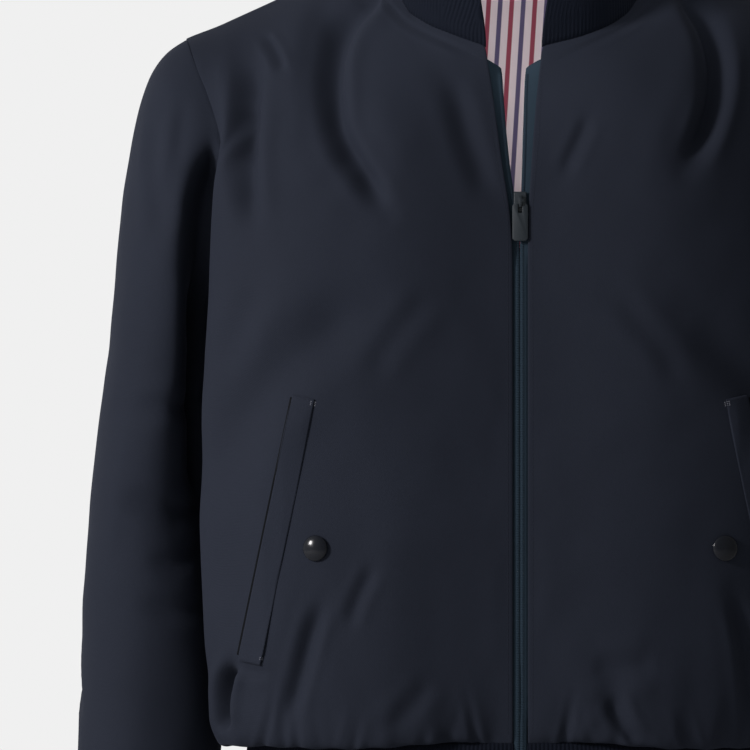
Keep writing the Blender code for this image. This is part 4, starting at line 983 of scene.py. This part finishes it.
def painted_shadow_strip(name, ground, path, finish):
    """A narrow near-black strip of painted shadow for a pocket's mouth, laid along a path of x and z in mm."""
    rows = []
    steps = stepped(path, MOUTH_SHADOW_STEP)
    slopes = np.gradient(steps, axis=0)
    for (x, z), slope in zip(steps, slopes):
        side = np.array([-slope[1], slope[0]]) / np.linalg.norm(slope) * MOUTH_SHADOW_WIDE / 2
        for sign in (-1, 1):
            place, normal = laid(ground, x + sign * side[0], z + sign * side[1])
            rows.append(place + normal * MOUTH_SHADOW_LIFT * MM)
    faces = [(k, k + 1, k + 3, k + 2) for k in range(0, len(rows) - 2, 2)]
    mesh = bpy.data.meshes.new(name)
    mesh.from_pydata([tuple(place) for place in rows], [], faces)
    strip = new_piece(name, mesh, finish)
    only(strip)
    bpy.ops.object.mode_set(mode="EDIT")
    bpy.ops.mesh.select_all(action="SELECT")
    bpy.ops.mesh.extrude_region_shrink_fatten(TRANSFORM_OT_shrink_fatten={"value": MOUTH_SHADOW_THICK * MM})
    bpy.ops.mesh.select_all(action="SELECT")
    bpy.ops.mesh.normals_make_consistent(inside=False)
    bpy.ops.object.mode_set(mode="OBJECT")
    return strip


class JacketZip(bpy.types.Operator):
    """The zip: two tapes with their coil edges, slider, pull tab and the box at its foot."""

    bl_idname = "jacket.zip"
    bl_label = "Zip"

    def execute(self, context):
        for side in SIGN:
            node = f"zip_tape_{side}"
            tape, _ = soft_copy(node, f"tape_{side}", "zip_tape_weave", THIN, 2, reach=0)
            dress(tape, tape_shaped(points_of(tape), side), node)
            finish_piece(coil_edge(side, ground_of(tape)))
        for node, body in (("zip_slider", "jacket"), ("zip_pull", "zip_pull"), ("zip_box", "jacket")):
            piece = working_copy(node, f"metal_{node}", "dark_painted_metal")
            bevel(piece, 0.25 * MM, 2)
            smooth(piece, 40)
            finish_piece(piece, node, body=body)
        return {"FINISHED"}


def zip_edge(side, z, column):
    """How far from the middle the cloth's edge or the tape's inner edge is at heights, in mm."""
    table = np.array(ZIP_EDGES[side])
    return np.interp(z, table[:, 0], table[:, column])


def tape_shaped(points, side):
    """A tape's points: top corner slanted, shut below the slider and arched out below the pull."""
    across, z = np.abs(points[:, 0]) / MM, points[:, 2] / MM
    edge = zip_edge(side, z, TAPE_EDGE)
    slant = np.clip(1 - (across - edge) / CORNER_WIDTH, 0, 1) * ramp(z, *CORNER_FROM)
    shut = np.clip(1 - across / SHUT_WITHIN, 0, 1) * (edge < SHUT_EDGE)
    arch = ramp(z, *ARCH_BELOW) * (1 - ramp(across, *ARCH_WITHIN))
    return points - np.column_stack([SIGN[side] * SHUT_BY * shut, ARCH_BY * arch, CORNER_DROP * slant]) * MM


def bevel(piece, width, segments):
    """Rounds the active piece's edges, for good."""
    soft = piece.modifiers.new("Edges", "BEVEL")
    soft.width, soft.segments, soft.limit_method = width, segments, "ANGLE"
    bpy.ops.object.modifier_apply(modifier=soft.name)


def coil_edge(side, ground):
    """The reversed coil's ribbed edge on a tape, one small rib beside the other."""
    bpy.ops.mesh.primitive_cube_add(size=1)
    bump = sized([size * MM for size in COIL_SIZE], "zip_tape_weave")
    bevel(bump, 0.3 * MM, 1)
    path = mirrored([(zip_edge(side, z, TAPE_EDGE) + COIL_MIDDLE, z) for z in np.arange(*COIL_HEIGHTS)], side)
    return copies(f"coil_{side}", bump, along_ground(ground, path, COIL_GAP, COIL_LIFT))


class JacketStitching(bpy.types.Operator):
    """The rows of stitches along the neck, the zip and the welts."""

    bl_idname = "jacket.stitching"
    bl_label = "Stitching"

    def execute(self, context):
        for side in SIGN:
            ground = ground_of(bpy.data.objects[f"wool_front_{side}"], bpy.data.objects[f"wool_welt_{side}"])
            beside_zip = [(zip_edge(side, z, CLOTH_EDGE) + ZIP_STITCHES, z) for z in ZIP_STITCH_HEIGHTS]
            inner, outer, places = END_STITCHES
            ends = [welt_line(inner, along) + welt_line(outer, along) for along in places]
            paths = [beside_zip, NECK_STITCHES, welt_line(*WELT_STITCHES), *ends]
            rows = stitch_rows(f"stitches_{side}", ground, [mirrored(path, side) for path in paths],
                               looks().stitch_length, 0.42 * MM, "sewing_thread")
            finish_piece(rows)
        return {"FINISHED"}


class JacketStage(bpy.types.Operator):
    """The pale floor, the soft lights and the camera."""

    bl_idname = "jacket.stage"
    bl_label = "Stage"

    def execute(self, context):
        scene = context.scene
        floor_finish, shader, _, _ = new_finish("pale_floor")
        put(shader, Base_Color=(0.62, 0.62, 0.62, 1), Roughness=0.9)
        bpy.ops.mesh.primitive_plane_add(size=FLOOR_SIZE, location=(0, 0, FLOOR_Z))
        floor = context.object
        floor.name = "stage_floor"
        floor.data.materials.append(floor_finish)
        scene.world = studio_world()
        for name, kind, place, aim, size, power, colour in LIGHTS:
            light = bpy.data.lights.new(name, kind)
            if kind == "AREA":
                light.size = size
            else:
                light.shadow_soft_size = size
                light.spot_size = math.radians(SPOT_DEGREES)
                light.spot_blend = SPOT_BLEND
            light.energy = power
            light.color = colour
            lamp = new_object(name, light)
            lamp.location = place
            lamp.rotation_euler = (Vector(aim) - Vector(place)).to_track_quat("-Z", "Y").to_euler()
        lens = bpy.data.cameras.new("camera")
        camera = new_object("camera", lens)
        lens.sensor_width = SENSOR
        lens.lens = SENSOR * CAMERA_AWAY / (PHOTO * PIXEL * MM)
        lens.clip_end = 50
        middle_x, middle_z = PHOTO / 2 - ORIGIN_RIGHT, -(PHOTO / 2 + ORIGIN_ABOVE)
        camera.location = (middle_x * PIXEL * MM, FRONT_Y - CAMERA_AWAY, middle_z * PIXEL * MM)
        camera.rotation_euler = (math.pi / 2, 0, 0)
        scene.camera = camera
        scene.view_settings.view_transform = "Standard"
        return {"FINISHED"}


class JacketPanel(bpy.types.Panel):
    """Lists the jacket's sizes, colours and pieces."""

    bl_idname = "VIEW3D_PT_jacket"
    bl_label = "Bomber jacket"
    bl_space_type = "VIEW_3D"
    bl_region_type = "UI"
    bl_category = "Jacket"

    def draw(self, context):
        for name in JacketLooks.__annotations__:
            self.layout.prop(looks(), name)
        for operator in OPERATORS:
            self.layout.operator(operator.bl_idname)


OPERATORS = (JacketStage, JacketFronts, JacketBack, JacketSleeves, JacketRibs, JacketLining, JacketPockets,
             JacketZip, JacketStitching)
CLASSES = (JacketLooks, *OPERATORS, JacketPanel)


def register():
    for item in CLASSES:
        bpy.utils.register_class(item)
    bpy.types.Scene.jacket_looks = bpy.props.PointerProperty(type=JacketLooks)


def unregister():
    del bpy.types.Scene.jacket_looks
    for item in reversed(CLASSES):
        bpy.utils.unregister_class(item)


def main():
    """Builds every piece in order."""
    register()
    bpy.ops.jacket.stage()
    bpy.ops.jacket.fronts()
    bpy.ops.jacket.back()
    bpy.ops.jacket.sleeves()
    bpy.ops.jacket.ribs()
    bpy.ops.jacket.lining()
    bpy.ops.jacket.pockets()
    bpy.ops.jacket.zip()
    bpy.ops.jacket.stitching()


if __name__ == "__main__":
    main()
